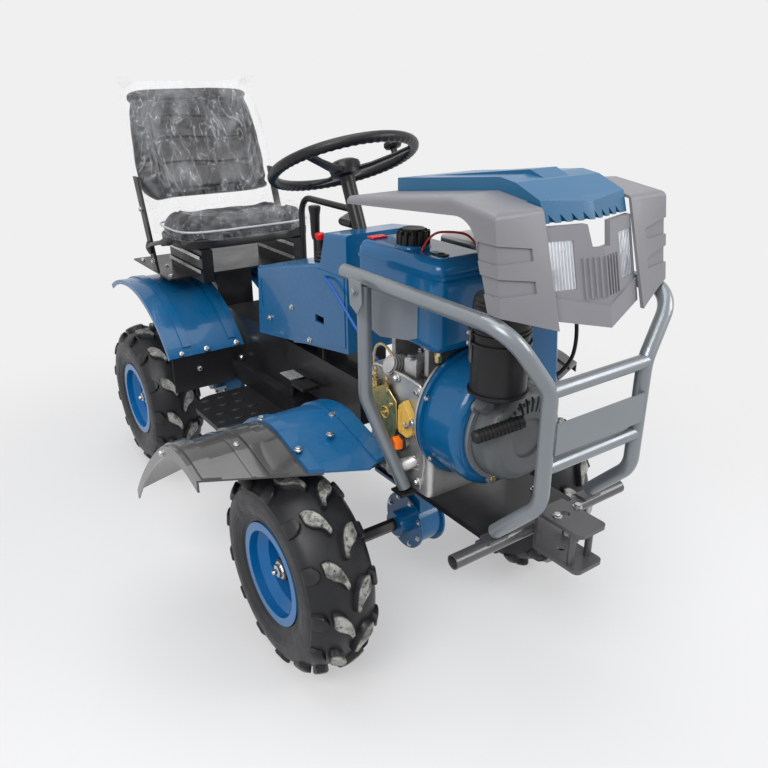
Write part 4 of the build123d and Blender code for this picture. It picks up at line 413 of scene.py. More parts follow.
class Shape:
    """The vertices and faces of one piece, gathered from turned, swept and sheet forms."""

    def __init__(self):
        self.verts = []
        self.faces = []

    def add(self, verts, faces):
        base = len(self.verts)
        self.verts += [Vector(v) for v in verts]
        self.faces += [tuple(base + i for i in face) for face in faces]

    def rings(self, rings, loop=False, ends=True):
        """A skin over rings of points, with its ends closed."""
        count = len(rings[0])
        faces = []
        for row in range(len(rings) if loop else len(rings) - 1):
            low = row * count
            high = (row + 1) % len(rings) * count
            for i in range(count):
                j = (i + 1) % count
                faces.append((low + i, low + j, high + j, high + i))
        if ends and not loop:
            faces.append(tuple(reversed(range(count))))
            faces.append(tuple((len(rings) - 1) * count + i for i in range(count)))
        self.add([p for ring in rings for p in ring], faces)
        return self

    def turned(self, place, axis, profile, sides=24, turn=0.0):
        """A form turned about an axis through place, from (along, radius) rows."""
        axis, first, second = square_to(axis)
        rings = []
        for along, radius in profile:
            ring = []
            for i in range(sides):
                angle = turn + 2 * math.pi * i / sides
                spoke = first * math.cos(angle) + second * math.sin(angle)
                ring.append(place + axis * along + spoke * max(radius, 0.00002))
            rings.append(ring)
        return self.rings(rings)

    def tube(self, points, radius, sides=10, loop=False):
        """A round tube along points; radius is one number or one for each point."""
        points = [Vector(p) for p in points]
        count = len(points)
        radii = radius if isinstance(radius, list) else [radius] * count
        rings = []
        side = None
        for i, point in enumerate(points):
            before = points[i - 1] if i or loop else point
            after = points[(i + 1) % count] if loop or i + 1 < count else point
            along = (after - before).normalized()
            side = along.orthogonal() if side is None else side - along * side.dot(along)
            side.normalize()
            other = along.cross(side)
            rings.append([point + side * radii[i] * math.cos(2 * math.pi * k / sides)
                          + other * radii[i] * math.sin(2 * math.pi * k / sides) for k in range(sides)])
        return self.rings(rings, loop)

    def slab(self, outline, depth, bevel=0.0015):
        """A plate with an outline of points, bevelled, of a given depth vector."""
        middle = sum(outline, Vector()) / len(outline)
        inner = [p + (middle - p).normalized() * bevel for p in outline]
        lift = depth.normalized() * bevel
        return self.rings([inner, [p + lift for p in outline], [p + depth - lift for p in outline],
                           [p + depth for p in inner]])

    def bolt(self, place, axis, flats=0.013, high=0.006, turn=0.0):
        """A hexagon head with its round washer and a chamfered top."""
        across = flats / math.sqrt(3)
        washer = [(-0.002, across * 1.35), (0.0012, across * 1.35), (0.0016, across * 1.22)]
        head = [(0.001, across), (high * 0.85, across), (high, across * 0.84)]
        return self.turned(place, axis, washer, 18).turned(place, axis, head, 6, turn)

    def screw(self, place, axis, radius=0.006, high=0.003):
        """A domed screw head with a socket."""
        return self.turned(place, axis, [(-0.001, radius), (high * 0.4, radius), (high * 0.85, radius * 0.75),
                                         (high, radius * 0.45), (high * 0.5, radius * 0.4)], 14)


def piece(name, shape, look, body="front_unit", replaces=(), marks=None):
    """A mesh piece that rides on a body, smooth but for its sharp edges."""
    mesh = bpy.data.meshes.new(name)
    mesh.from_pydata([tuple(v) for v in shape.verts], [], shape.faces)
    if marks:
        layer = mesh.attributes.new(marks[0], "FLOAT", "POINT")
        layer.data.foreach_set("value", marks[1])
    form = bmesh.new()
    form.from_mesh(mesh)
    bmesh.ops.recalc_face_normals(form, faces=form.faces)
    for face in form.faces:
        face.smooth = True
    for edge in form.edges:
        if len(edge.link_faces) == 2 and edge.calc_face_angle(0) > SHARP:
            edge.smooth = False
    form.to_mesh(mesh)
    form.free()
    mesh.materials.append(LOOKS[look])
    made = placed(name, mesh)
    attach(made, body)
    if replaces:
        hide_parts(*replaces)
    return made


def curved(points, steps):
    """Points on a smooth line through a few given ones."""
    points = [Vector(p) for p in points]
    line = []
    for i in range(len(points) - 1):
        before = points[max(i - 1, 0)]
        after = points[min(i + 2, len(points) - 1)]
        start, end = points[i], points[i + 1]
        for step in range(steps):
            t = step / steps
            line.append(0.5 * (2 * start + (end - before) * t
                               + (2 * before - 5 * start + 4 * end - after) * t * t
                               + (3 * start - before - 3 * end + after) * t * t * t))
    line.append(points[-1])
    return line


# Tyres: a smooth carcass with middle lugs and shoulder lugs
CARCASS = [
    # (across, radius) from the middle of the tread to the bead
    (0.0, 0.222), (0.022, 0.2198), (0.044, 0.2131), (0.06, 0.2053), (0.07, 0.1965), (0.077, 0.185),
    (0.0795, 0.17), (0.0785, 0.153), (0.074, 0.136), (0.069, 0.1235), (0.0662, 0.1172), (0.06, 0.11),
]
WALL_RINGS = [
    # (radius, how proud, half width) of the fine rings on the walls
    (0.1905, 0.0012, 0.0016), (0.158, 0.0008, 0.0012), (0.15, 0.0008, 0.0012), (0.13, 0.0018, 0.003),
]
TYRE_BORE = 0.1022
TREAD_HALF = 0.066
LUG_COUNT = 13
LUG_HIGH = 0.0172
TURN_SEGMENTS = 156
PITCH = 2 * math.pi * AXLE_UP / LUG_COUNT
LUG_STEPS = (0.0, 0.035, 0.09, 0.22, 0.36, 0.5, 0.64, 0.78, 0.91, 0.965, 1.0)
LUG_ROWS = (0.0, 0.07, 0.16, 0.5, 0.84, 0.93, 1.0)
MIDDLE_LUG = (
    # upper and lower edges: (across, along) as shares of half the tread and of the pitch
    [(0.66, 0.26), (0.5, 0.29), (0.34, 0.25), (0.18, 0.12), (0.07, -0.09), (0.0, -0.35)],
    [(0.63, 0.0), (0.54, -0.09), (0.46, -0.15), (0.32, -0.18), (0.2, -0.25), (0.12, -0.38)],
)
SHOULDER_LUG = (
    [(1.24, 0.27), (1.02, 0.28), (0.88, 0.26), (0.8, 0.17)],
    [(1.24, -0.1), (1.02, -0.11), (0.9, -0.09), (0.82, -0.02)],
)
WHEELS = {
    # name: (right, ahead, mirrored)
    "front_right": (0.326, 0.0, 1), "front_left": (-0.326, 0.0, -1),
    "rear_right": (0.252, -1.095, 1), "rear_left": (-0.252, -1.095, -1),
}


def along_row(rows, share):
    """A point at a share of a polyline, by its index."""
    place = share * (len(rows) - 1)
    index = min(int(place), len(rows) - 2)
    part = place - index
    return [a + (b - a) * part for a, b in zip(rows[index], rows[index + 1])]


CARCASS_LINE = [Vector((p.x, p.y)) for p in curved([(a, r, 0) for a, r in CARCASS], 6)]


def on_carcass(length):
    """The carcass point and outward direction at a length along its line from the middle."""
    left = length
    for first, second in zip(CARCASS_LINE, CARCASS_LINE[1:]):
        step = (second - first).length
        if left <= step:
            along = (second - first) / step
            return first + along * left, Vector((-along.y, along.x))
        left -= step
    return CARCASS_LINE[-1], Vector((1, 0))


def tyre_forms():
    shape = Shape()
    profile = []
    for point in CARCASS_LINE:
        across, radius = point
        for ring, proud, half in WALL_RINGS:
            if radius < 0.2 and abs(radius - ring) < half:
                across += proud
        profile.append((across, radius))
    profile += [(0.052, 0.1045), (0.0, TYRE_BORE)]
    line = profile + [(-a, r) for a, r in reversed(profile[1:-1])]
    rings = []
    for i in range(TURN_SEGMENTS):
        angle = 2 * math.pi * i / TURN_SEGMENTS
        rings.append([(a, r * math.sin(angle), r * math.cos(angle)) for a, r in line])
    shape.rings(rings, loop=True)
    marks = [0.0] * len(shape.verts)
    for side in (-1, 1):
        for (upper, lower), high, outer_high, nose, marked in (
                (MIDDLE_LUG, LUG_HIGH, LUG_HIGH, 0.0, 1.0), (SHOULDER_LUG, 0.0135, 0.0065, 0.1, 0.0)):
            for index in range(LUG_COUNT):
                turn = (index + side / 4) / LUG_COUNT * 2 * math.pi
                rows = []
                for w_index, w in enumerate(LUG_ROWS):
                    row = []
                    for t_index, t in enumerate(LUG_STEPS):
                        a0, l0 = along_row(upper, t)
                        a1, l1 = along_row(lower, t)
                        across = a0 + (a1 - a0) * w - nose * 4 * w * (1 - w) * t
                        along = l0 + (l1 - l0) * w
                        ring = min(t_index, len(LUG_STEPS) - 1 - t_index,
                                   w_index, len(LUG_ROWS) - 1 - w_index)
                        share = (-0.2, 0.8, 1.0, 1.0)[min(ring, 3)]
                        lift = share * (outer_high + (high - outer_high) * min(1.0, t * 1.6))
                        point, out = on_carcass(max(0.0, across) * TREAD_HALF * 1.04)
                        point = point + out * lift
                        angle = turn + along * PITCH / AXLE_UP
                        row.append((side * point.x, point.y * math.sin(angle), point.y * math.cos(angle)))
                        marks.append(marked if ring >= 2 else 0.0)
                    rows.append(row)
                base = len(shape.verts)
                width = len(LUG_STEPS)
                shape.verts += [Vector(v) for row in rows for v in row]
                for w_index in range(len(LUG_ROWS) - 1):
                    for t_index in range(width - 1):
                        low = base + w_index * width + t_index
                        shape.faces.append((low, low + 1, low + width + 1, low + width))
    return shape, marks


def add_tyres():
    form, marks = tyre_forms()
    for name, (right, ahead, mirrored) in WHEELS.items():
        middle = at(right, ahead, AXLE_UP)
        moved = Shape()
        moved.faces = form.faces
        moved.verts = [middle + Vector((v.x * mirrored, v.y, v.z)) for v in form.verts]
        piece("tyre_tread_" + name, moved, "rubber", "wheel_" + name,
              ["tyre_" + name], ("tread_top", marks))


def add_wheel_fittings():
    for name, (right, ahead, mirrored) in WHEELS.items():
        out = RIGHT * mirrored
        low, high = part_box("shaft_" + name)
        reach = max(abs(low[0]), abs(high[0]))
        end = at(reach * mirrored, ahead, AXLE_UP)
        middle = at(right, ahead, AXLE_UP)
        body = "wheel_" + name
        rows = [(-0.004, 0.0255), (0.0, 0.0262), (0.0045, 0.0248), (0.006, 0.021)]
        piece("hub_face_" + name, Shape().turned(end, out, rows, 28), "black_steel", body)
        nut = Shape().bolt(end + out * 0.006, out, 0.026, 0.01)
        nut.turned(end + out * 0.012, out, [(0.0, 0.0062), (0.01, 0.0062), (0.0125, 0.0045)], 12)
        piece("hub_nut_" + name, nut, "plated", body)
        studs = Shape()
        for index in range(4):
            angle = math.pi / 4 + index * math.pi / 2
            spoke = Vector((0, math.sin(angle), math.cos(angle)))
            studs.bolt(middle + spoke * 0.038 + out * 0.0105, out, 0.011, 0.006)
        piece("hub_studs_" + name, studs, "black_steel", body)
        foot = middle + Vector((0, -0.02, -0.07)) + out * 0.006
        rows = [(0.0, 0.0085), (0.006, 0.008), (0.009, 0.0052), (0.026, 0.0046), (0.028, 0.004)]
        valve = Shape().turned(foot, out + Vector((0, 0.1, -0.45)), rows, 14)
        piece("valve_" + name, valve, "hose", body)


# Seat: pads blown up as cloth, their seams, and the clear film shaped over them
CUSHION_MIDDLE = (-0.9225, 0.768)
CUSHION_HALF = (0.208, 0.124)
BACK_FOOT = (-1.07, 0.872)
BACK_HEAD = (-1.18, 1.208)
BACK_HALF = 0.218
BACK_LONG = math.hypot(BACK_HEAD[0] - BACK_FOOT[0], BACK_HEAD[1] - BACK_FOOT[1])
BACK_DEEP = 0.07
BACK_OUTLINE = [
    # (share of the half width, share of the height) up one side
    (0.8, 0.012), (0.97, 0.1), (1.0, 0.25), (1.0, 0.42), (0.965, 0.68), (0.9, 0.86), (0.74, 0.985),
]
PAD_POINTS = 72
PRESSURE = 4.0
PAD_VOXEL = 0.0055
PAD_TRAVEL = 0.01
CLOTH_FRAMES = 20


def rounded(half_wide, half_long, corner, count):
    """Points round a rectangle with rounded corners."""
    points = []
    power = 2 / corner
    for index in range(count):
        angle = 2 * math.pi * (index + 0.5) / count
        c, s = math.cos(angle), math.sin(angle)
        points.append((half_wide * math.copysign(abs(c) ** power, c),
                       half_long * math.copysign(abs(s) ** power, s)))
    return points


def cushion_height(x, y):
    """The cushion's top: two side bolsters, a front roll and a dished middle."""
    side = abs(x) / CUSHION_HALF[0]
    front = y / CUSHION_HALF[1]
    bolster = math.exp(-((side - 0.8) / 0.16) ** 2) * 0.013
    roll = math.exp(-((front - 0.72) / 0.25) ** 2) * 0.01
    return 0.068 + bolster + roll - 0.01 * (1 - side * side) * (1 - front * front)


def cushion_form():
    outline = rounded(1.0, 1.0, 4.2, PAD_POINTS)
    rings = []
    for scale, high in ((0.3, 0.006), (0.7, 0.004), (0.93, 0.004), (0.985, 0.012), (1.0, 0.03),
                        (0.995, 0.048)):
        rings.append([(x * scale * CUSHION_HALF[0], y * scale * CUSHION_HALF[1], high) for x, y in outline])
    for scale, drop in ((0.965, 0.012), (0.9, 0.003), (0.78, 0.0), (0.62, 0.0), (0.45, 0.0), (0.28, 0.0),
                        (0.1, 0.0)):
        ring = []
        for x, y in outline:
            px, py = x * scale * CUSHION_HALF[0], y * scale * CUSHION_HALF[1]
            ring.append((px, py, cushion_height(px, py) - drop))
        rings.append(ring)
    origin = at(0, *CUSHION_MIDDLE)
    return Shape().rings([[origin + RIGHT * x + AHEAD * y + UP * z for x, y, z in ring] for ring in rings])


LEAN = Vector((BACK_HEAD[0] - BACK_FOOT[0], BACK_HEAD[1] - BACK_FOOT[1])).normalized()
BACK_RISE = AHEAD * LEAN.x + UP * LEAN.y
BACK_FRONT = AHEAD * LEAN.y - UP * LEAN.x


def on_back(x, v, out):
    """A place on the backrest: right, up its slope, and out of its front."""
    return at(0, *BACK_FOOT) + RIGHT * x + BACK_RISE * v + BACK_FRONT * out


def back_crown(x, v):
    """How far the backrest's front swells."""
    side = min(1.0, abs(x) / BACK_HALF)
    up = 2 * v / BACK_LONG - 1
    bolster = math.exp(-((side - 0.82) / 0.14) ** 2) * 0.006
    return -0.012 + bolster + 0.006 * (1 - up * up) - 0.004 * (1 - side)


def back_form():
    right = [(a * BACK_HALF, b * BACK_LONG) for a, b in BACK_OUTLINE]
    loop = curved([(a, b, 0) for a, b in right + [(-a, b) for a, b in reversed(right)] + right[:1]], 6)[:-1]
    middle = Vector((0, BACK_LONG / 2, 0))
    rings = []
    for scale, out in ((0.2, -0.066), (0.6, -0.066), (0.9, -0.064), (0.975, -0.056), (1.0, -0.04),
                       (1.0, -0.026)):
        rings.append([(middle + (p - middle) * scale, out) for p in loop])
    for scale, drop in ((0.975, 0.008), (0.91, 0.001), (0.8, 0.0), (0.62, 0.0), (0.42, 0.0), (0.22, 0.0),
                        (0.06, 0.0)):
        ring = []
        for p in loop:
            q = middle + (p - middle) * scale
            ring.append((q, back_crown(q.x, q.y) - drop))
        rings.append(ring)
    return Shape().rings([[on_back(q.x, q.y, out) for q, out in ring] for ring in rings])


def blown(pad):
    """The pad remeshed, blown up as cloth, with its travel capped, and smoothed once."""
    scene = bpy.context.scene
    view = bpy.context.view_layer
    remesh = pad.modifiers.new("remesh", "REMESH")
    remesh.mode = "VOXEL"
    remesh.voxel_size = PAD_VOXEL
    view.update()
    mesh = bpy.data.meshes.new_from_object(pad.evaluated_get(view.depsgraph))
    pad.modifiers.clear()
    old = pad.data
    pad.data = mesh
    start = [v.co.copy() for v in mesh.vertices]
    cloth = pad.modifiers.new("cloth", "CLOTH")
    cloth.settings.use_pressure = True
    cloth.settings.uniform_pressure_force = PRESSURE
    cloth.settings.effector_weights.gravity = 0.0
    cloth.settings.tension_stiffness = 25
    cloth.settings.compression_stiffness = 25
    cloth.settings.bending_stiffness = 2.0
    cloth.point_cache.frame_start = 1
    cloth.point_cache.frame_end = CLOTH_FRAMES
    for step in range(1, CLOTH_FRAMES + 1):
        scene.frame_set(step)
    moved = bpy.data.meshes.new_from_object(pad.evaluated_get(view.depsgraph))
    pad.modifiers.clear()
    for vertex, first in zip(moved.vertices, start):
        way = vertex.co - first
        if way.length > PAD_TRAVEL:
            vertex.co = first + way * (PAD_TRAVEL / way.length)
    scene.frame_set(1)
    pad.data = moved
    divide = pad.modifiers.new("smooth", "SUBSURF")
    divide.levels = 1
    divide.render_levels = 1
    view.update()
    final = bpy.data.meshes.new_from_object(pad.evaluated_get(view.depsgraph))
    pad.modifiers.clear()
    pad.data = final
    for polygon in final.polygons:
        polygon.use_smooth = True
    if not final.materials:
        final.materials.append(old.materials[0])


def seamed(pad, depth_at):
    """Sewn channels and creases pressed into a pad along its normals."""
    mesh = pad.data
    ways = [v.normal.copy() for v in mesh.vertices]
    for vertex, way in zip(mesh.vertices, ways):
        vertex.co -= way * depth_at(vertex.co)


def groove(distance, half=0.006, deep=0.004):
    return deep * max(0.0, 1 - (distance / half) ** 2)


def panel_distance(x, v, half_wide, low, high, corner):
    """Distance from the edge of a round-cornered panel."""
    middle = (low + high) / 2
    px = abs(x) - (half_wide - corner)
    py = abs(v - middle) - ((high - low) / 2 - corner)
    outside = math.hypot(max(px, 0), max(py, 0))
    return abs(outside + min(max(px, py), 0) - corner)


def back_seams(point):
    away = point - at(0, *BACK_FOOT)
    x, v, out = away.dot(RIGHT), away.dot(BACK_RISE), away.dot(BACK_FRONT)
    if out < -0.03:
        return 0.0
    deep = groove(panel_distance(x, v, 0.15, 0.03, 0.3, 0.055))
    if abs(x) < 0.15:
        for row in (0.105, 0.18, 0.245):
            deep = max(deep, groove(abs(v - row - 0.004 * math.sin(x * 22)), 0.007, 0.0035))
    wrinkle = noise.noise(Vector((x * 14, v * 30, 0.3))) * 0.0016
    return deep + wrinkle


def cushion_seams(point):
    away = point - at(0, *CUSHION_MIDDLE)
    x, y, high = away.dot(RIGHT), away.dot(AHEAD), away.dot(UP)
    if high < 0.03:
        return 0.0
    deep = groove(panel_distance(x, y, 0.15, -0.105, 0.07, 0.035))
    wrinkle = noise.noise(Vector((x * 22, y * 22, 1.3))) * 0.0018
    return deep + wrinkle


def add_seat():
    cushion = piece("seat_cushion_pad", cushion_form(), "vinyl", "root", ["seat_cushion"])
    blown(cushion)
    seamed(cushion, cushion_seams)
    back = piece("seat_back_pad", back_form(), "vinyl", "root", ["seat_back"])
    blown(back)
    seamed(back, back_seams)
    edge = [at(0, CUSHION_MIDDLE[0], 0.8165) + RIGHT * x + AHEAD * y
            for x, y in rounded(0.2115, 0.127, 4.2, 96)]
    piece("seat_cushion_piping", Shape().tube(edge, 0.003, 8, True), "piping", "root")
    rings = []
    for scale, high in ((0.55, 0.7662), (0.97, 0.7662), (1.015, 0.769), (1.02, 0.79), (1.0, 0.7935)):
        rings.append([at(0, CUSHION_MIDDLE[0], high) + RIGHT * x * scale + AHEAD * y * scale
                      for x, y in rounded(*CUSHION_HALF, 4.2, 64)])
    piece("seat_cushion_pan", Shape().rings(rings, ends=False), "black_plastic", "root")


FILM_STEPS = 84
FILM_HALF = 0.262
DRAPE_HALF = (0.207, 0.124)


def film_over_back():
    """A bag of film pulled over the backrest, its corners standing out as ears."""
    verts = []
    low, high = -0.02, 0.392
    for j in range(FILM_STEPS + 1):
        v = low + (high - low) * j / FILM_STEPS
        for i in range(FILM_STEPS + 1):
            x = FILM_HALF * (2 * i / FILM_STEPS - 1)
            up = min(v, BACK_LONG)
            share = min(1, max(0, up / BACK_LONG))
            half = BACK_HALF * along_row(BACK_OUTLINE, share)[0] + 0.004
            over = max(0.0, v - BACK_LONG)
            past = max(0.0, abs(x) - half)
            px = math.copysign(min(abs(x), half), x)
            corner = min(1.0, over / 0.03) * min(1.0, past / 0.04)
            top = min(1.0, past / 0.05) * max(0.0, 1 - (BACK_LONG - v) / 0.09) if v < BACK_LONG else corner
            out = 0.015 + max(0.0, back_crown(px, up)) + back_crown(px, up) * 0.5
            out -= (past * 0.92) * (1 - top) + over * 0.75 * (1 - corner)
            px += math.copysign(past * (0.2 + 0.45 * top), x)
            rise = up + over * (0.22 + 0.25 * corner)
            crumple = (noise.noise(Vector((x * 17, v * 11, 4.1))) * 0.006
                       + noise.noise(Vector((x * 46 + v * 20, v * 30, 8.1))) * 0.0028)
            sweep = abs(math.sin(x * 40 + v * 25 + 3 * noise.noise(Vector((x * 6, v * 6, 2))))) ** 3 * 0.004
            verts.append(on_back(px, rise, out + crumple + sweep))
    return verts


def film_over_cushion():
    """A sheet of film over the cushion, hanging at its sides and front."""
    verts = []
    wide, front = DRAPE_HALF
    for j in range(FILM_STEPS + 1):
        y = -0.118 + 0.292 * j / FILM_STEPS
        for i in range(FILM_STEPS + 1):
            x = FILM_HALF * (2 * i / FILM_STEPS - 1)
            past_x = max(0.0, abs(x) - wide)
            past_y = max(0.0, y - front)
            px = math.copysign(min(abs(x), wide) + past_x * 0.16, x)
            py = min(y, front) + past_y * 0.16
            edge = max(abs(px) / wide, py / front)
            high = cushion_height(px, py) + 0.018 - 0.012 * max(0.0, edge - 0.9) / 0.1
            high -= max(past_x, past_y) * 0.95
            crumple = (noise.noise(Vector((x * 19, y * 19, 14.1))) * 0.006
                       + noise.noise(Vector((x * 50, y * 42, 5.1))) * 0.003)
            lift = abs(math.sin(x * 34 - y * 46 + 3 * noise.noise(Vector((x * 7, y * 7, 9))))) ** 3 * 0.004
            verts.append(at(px + (crumple if past_x else 0),
                            CUSHION_MIDDLE[0] + py + (crumple if past_y else 0),
                            CUSHION_MIDDLE[1] + high + (0 if past_x or past_y else crumple + lift)))
    return verts


def add_film():
    for name, verts, flat, rests in (
            ("seat_back_film", film_over_back(), (0.524, 0.412), "seat_back_pad"),
            ("seat_cushion_film", film_over_cushion(), (0.524, 0.292), "seat_cushion_pad")):
        shape = Shape()
        width = FILM_STEPS + 1
        faces = [(j * width + i, j * width + i + 1, (j + 1) * width + i + 1, (j + 1) * width + i)
                 for j in range(FILM_STEPS) for i in range(FILM_STEPS)]
        shape.add(verts, faces)
        film = piece(name, shape, "film", "root")


# Steering wheel
WHEEL_PLACE = (0.0, -0.29, 1.042)
WHEEL_TILT = math.radians(24)
WHEEL_AXIS = UP * math.cos(WHEEL_TILT) - AHEAD * math.sin(WHEEL_TILT)
WHEEL_UPWARD = AHEAD * math.cos(WHEEL_TILT) + UP * math.sin(WHEEL_TILT)
GRIP_RADIUS = 0.0125
RING_RADIUS = 0.179 - GRIP_RADIUS
SCALLOPS = 60
RING_STEPS = 240
GRIP_SIDES = 16
SPOKE_TURNS = (30, 150, 270)
SPOKE_ROWS = (
    # (radius, half width, half depth, drop)
    (0.024, 0.017, 0.006, -0.022), (0.06, 0.014, 0.005, -0.019), (0.11, 0.011, 0.0045, -0.011),
    (0.15, 0.012, 0.004, -0.003), (0.164, 0.014, 0.004, 0.0),
)


def on_wheel(radius, angle, out):
    return (at(*WHEEL_PLACE) + RIGHT * radius * math.cos(angle)
            + WHEEL_UPWARD * radius * math.sin(angle) + WHEEL_AXIS * out)


def add_steering_wheel():
    rings = []
    for i in range(RING_STEPS):
        angle = 2 * math.pi * i / RING_STEPS
        ring = []
        for k in range(GRIP_SIDES):
            round_angle = 2 * math.pi * k / GRIP_SIDES
            under = max(0.0, -math.sin(round_angle))
            radius = GRIP_RADIUS - under * 0.0016 * (1 + math.cos(angle * SCALLOPS)) / 2
            ring.append(on_wheel(RING_RADIUS + radius * math.cos(round_angle), angle,
                                 radius * math.sin(round_angle)))
        rings.append(ring)
    shape = Shape().rings(rings, loop=True)
    for turn in map(math.radians, SPOKE_TURNS):
        side = WHEEL_UPWARD * math.cos(turn) - RIGHT * math.sin(turn)
        rows = []
        for radius, wide, deep, drop in SPOKE_ROWS:
            middle = on_wheel(radius, turn, drop)
            rows.append([middle + side * wide + WHEEL_AXIS * deep * 0.2,
                         middle + side * wide * 0.8 + WHEEL_AXIS * deep,
                         middle - side * wide * 0.8 + WHEEL_AXIS * deep,
                         middle - side * wide + WHEEL_AXIS * deep * 0.2,
                         middle - side * wide * 0.7 - WHEEL_AXIS * deep,
                         middle + side * wide * 0.7 - WHEEL_AXIS * deep])
        shape.rings(rows)
    rows = [(-0.052, 0.016), (-0.034, 0.019), (-0.03, 0.034), (-0.008, 0.038),
            (-0.002, 0.036), (0.003, 0.028), (0.006, 0.014), (0.0065, 0.002)]
    shape.turned(at(*WHEEL_PLACE), WHEEL_AXIS, rows, 36)
    piece("steering_wheel_moulding", shape, "black_plastic", "steering_wheel", replaces=["steering_wheel"])


# Small controls
STOP_PLACE = (0.052, -0.32)
BOOT_FOLDS = 6


def add_levers():
    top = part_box("gear_levers")[1][2]
    rows = [(0.0, 0.0085), (0.012, 0.011), (0.06, 0.0125), (0.074, 0.015), (0.08, 0.015), (0.0815, 0.012)]
    grip = Shape().turned(at(0.03, -0.38, top - 0.082), UP, rows, 22)
    piece("gear_lever_grip", grip, "black_plastic", "root")
    rows = [(0.0, 0.01), (0.006, 0.0125), (0.013, 0.0125), (0.016, 0.009)]
    piece("stop_button", Shape().turned(at(*STOP_PLACE, 0.866), UP, rows, 22), "red", "root")
    rows = [(0.0, 0.006), (0.004, 0.0085), (0.01, 0.0085), (0.014, 0.006)]
    piece("stop_button_collar", Shape().turned(at(*STOP_PLACE, 0.852), UP, rows, 20), "chrome", "root")
    rows = [(0.0, 0.019)]
    for step in range(BOOT_FOLDS):
        rows += [(0.004 + step * 0.009, 0.0185 - step * 0.0018),
                 (0.0075 + step * 0.009, 0.015 - step * 0.0016)]
    piece("lever_boot", Shape().turned(at(*STOP_PLACE, 0.796), UP, rows, 24), "hose", "root")


# Engine fittings on its right side; outlines are (ahead, up) rows
SIDE = 0.1215
GOVERNOR = [
    (0.006, 0.64), (0.03, 0.625), (0.062, 0.64), (0.098, 0.612), (0.101, 0.56), (0.092, 0.52),
    (0.08, 0.478), (0.068, 0.476), (0.058, 0.52), (0.02, 0.545), (0.012, 0.6),
]
GOVERNOR_SPACERS = [(0.018, 0.622), (0.08, 0.6), (0.072, 0.5)]
GOVERNOR_PIVOT = (0.06, 0.576)
SPRING_STEPS = 34
PUMP_BLOCK = [
    (0.112, 0.552), (0.112, 0.612), (0.128, 0.626), (0.146, 0.606), (0.158, 0.588), (0.156, 0.562),
    (0.14, 0.548),
]
PUMP_WINDOW = [(0.116, 0.56), (0.116, 0.606), (0.126, 0.606), (0.126, 0.56)]
OIL_FILLER = (0.118, 0.53)
COVER_RIM = [
    (0.0, 0.452), (0.0, 0.64), (0.03, 0.668), (0.15, 0.668), (0.168, 0.64), (0.168, 0.44), (0.012, 0.44),
]
COVER_BOLTS = [
    (0.004, 0.458), (0.004, 0.56), (0.006, 0.64), (0.09, 0.662), (0.16, 0.655), (0.164, 0.56), (0.164, 0.455),
    (0.084, 0.444),
]
SIDE_PLATE = [(0.03, 0.752), (0.03, 0.852), (0.18, 0.852), (0.18, 0.776), (0.15, 0.764), (0.06, 0.746)]
COVER_FINS = 5


def on_side(rows, right):
    return [at(right, ahead, up) for ahead, up in rows]


def places(*rows):
    return [at(*row) for row in rows]


def hole_ring(shape, place, axis, radius, thick, sides=24):
    """A small bead ring round a hole."""
    axis, first, second = square_to(axis)
    shape.tube([place + first * radius * math.cos(2 * math.pi * i / sides)
                + second * radius * math.sin(2 * math.pi * i / sides) for i in range(sides)], thick, 8, True)


def add_governor():
    plate = Shape().slab(on_side(GOVERNOR, 0.129), RIGHT * 0.0028, 0.0008)
    hole_ring(plate, at(0.1322, *GOVERNOR_PIVOT), RIGHT, 0.0125, 0.002)
    plate.turned(at(0.13, *GOVERNOR_PIVOT), RIGHT, [(0.0, 0.0045), (0.006, 0.0045), (0.007, 0.003)], 6)
    for ahead, up in GOVERNOR_SPACERS:
        plate.turned(at(SIDE - 0.004, ahead, up), RIGHT, [(0.0, 0.006), (0.01, 0.006)], 12)
        plate.screw(at(0.1318, ahead, up), RIGHT, 0.0055, 0.003)
    piece("governor_plate", plate, "gold")
    screws = Shape()
    for ahead, long in ((0.026, 0.04), (0.066, 0.03)):
        foot = at(0.132, ahead, 0.64 - 0.012)
        rows = [(0.0, 0.0055), (0.01, 0.0055), (0.011, 0.0032), (long, 0.0032), (long + 0.001, 0.0026)]
        screws.turned(foot, UP, rows, 12)
        screws.turned(foot + UP * (long - 0.01), UP, [(0.0, 0.0055), (0.005, 0.0055)], 6)
        coil = [Vector((0.0045 * math.cos(t * 1.2), 0.0045 * math.sin(t * 1.2), 0.011 + t * 0.00042))
                for t in range(SPRING_STEPS)]
        screws.tube([foot + point for point in coil], 0.0007, 6)
    piece("governor_screws", screws, "brass")


def add_pump_and_filler():
    block = Shape().slab(on_side(PUMP_BLOCK, SIDE - 0.004), RIGHT * 0.019, 0.0015)
    piece("pump_block", block.slab(on_side(PUMP_WINDOW, SIDE + 0.015), RIGHT * 0.004, 0.001), "yellow")
    route = places((0.14, 0.138, 0.582), (0.144, 0.148, 0.578), (0.143, 0.16, 0.586), (0.141, 0.166, 0.598))
    lever = Shape().tube(route, 0.0032)
    lever.turned(at(0.128, 0.166, 0.594), RIGHT, [(0.0, 0.0075), (0.016, 0.0075), (0.018, 0.006)], 16)
    piece("stop_lever", lever, "plated")
    rows = [(0.0, 0.015), (0.003, 0.0165), (0.015, 0.016), (0.018, 0.0135)]
    piece("oil_cap", Shape().turned(at(0.1375, *OIL_FILLER), RIGHT + UP * 0.1, rows, 6, 0.3), "orange")
    rows = [(0.0, 0.0185), (0.003, 0.0185), (0.0045, 0.017)]
    piece("oil_cap_collar", Shape().turned(at(0.134, *OIL_FILLER), RIGHT, rows, 28), "hose")


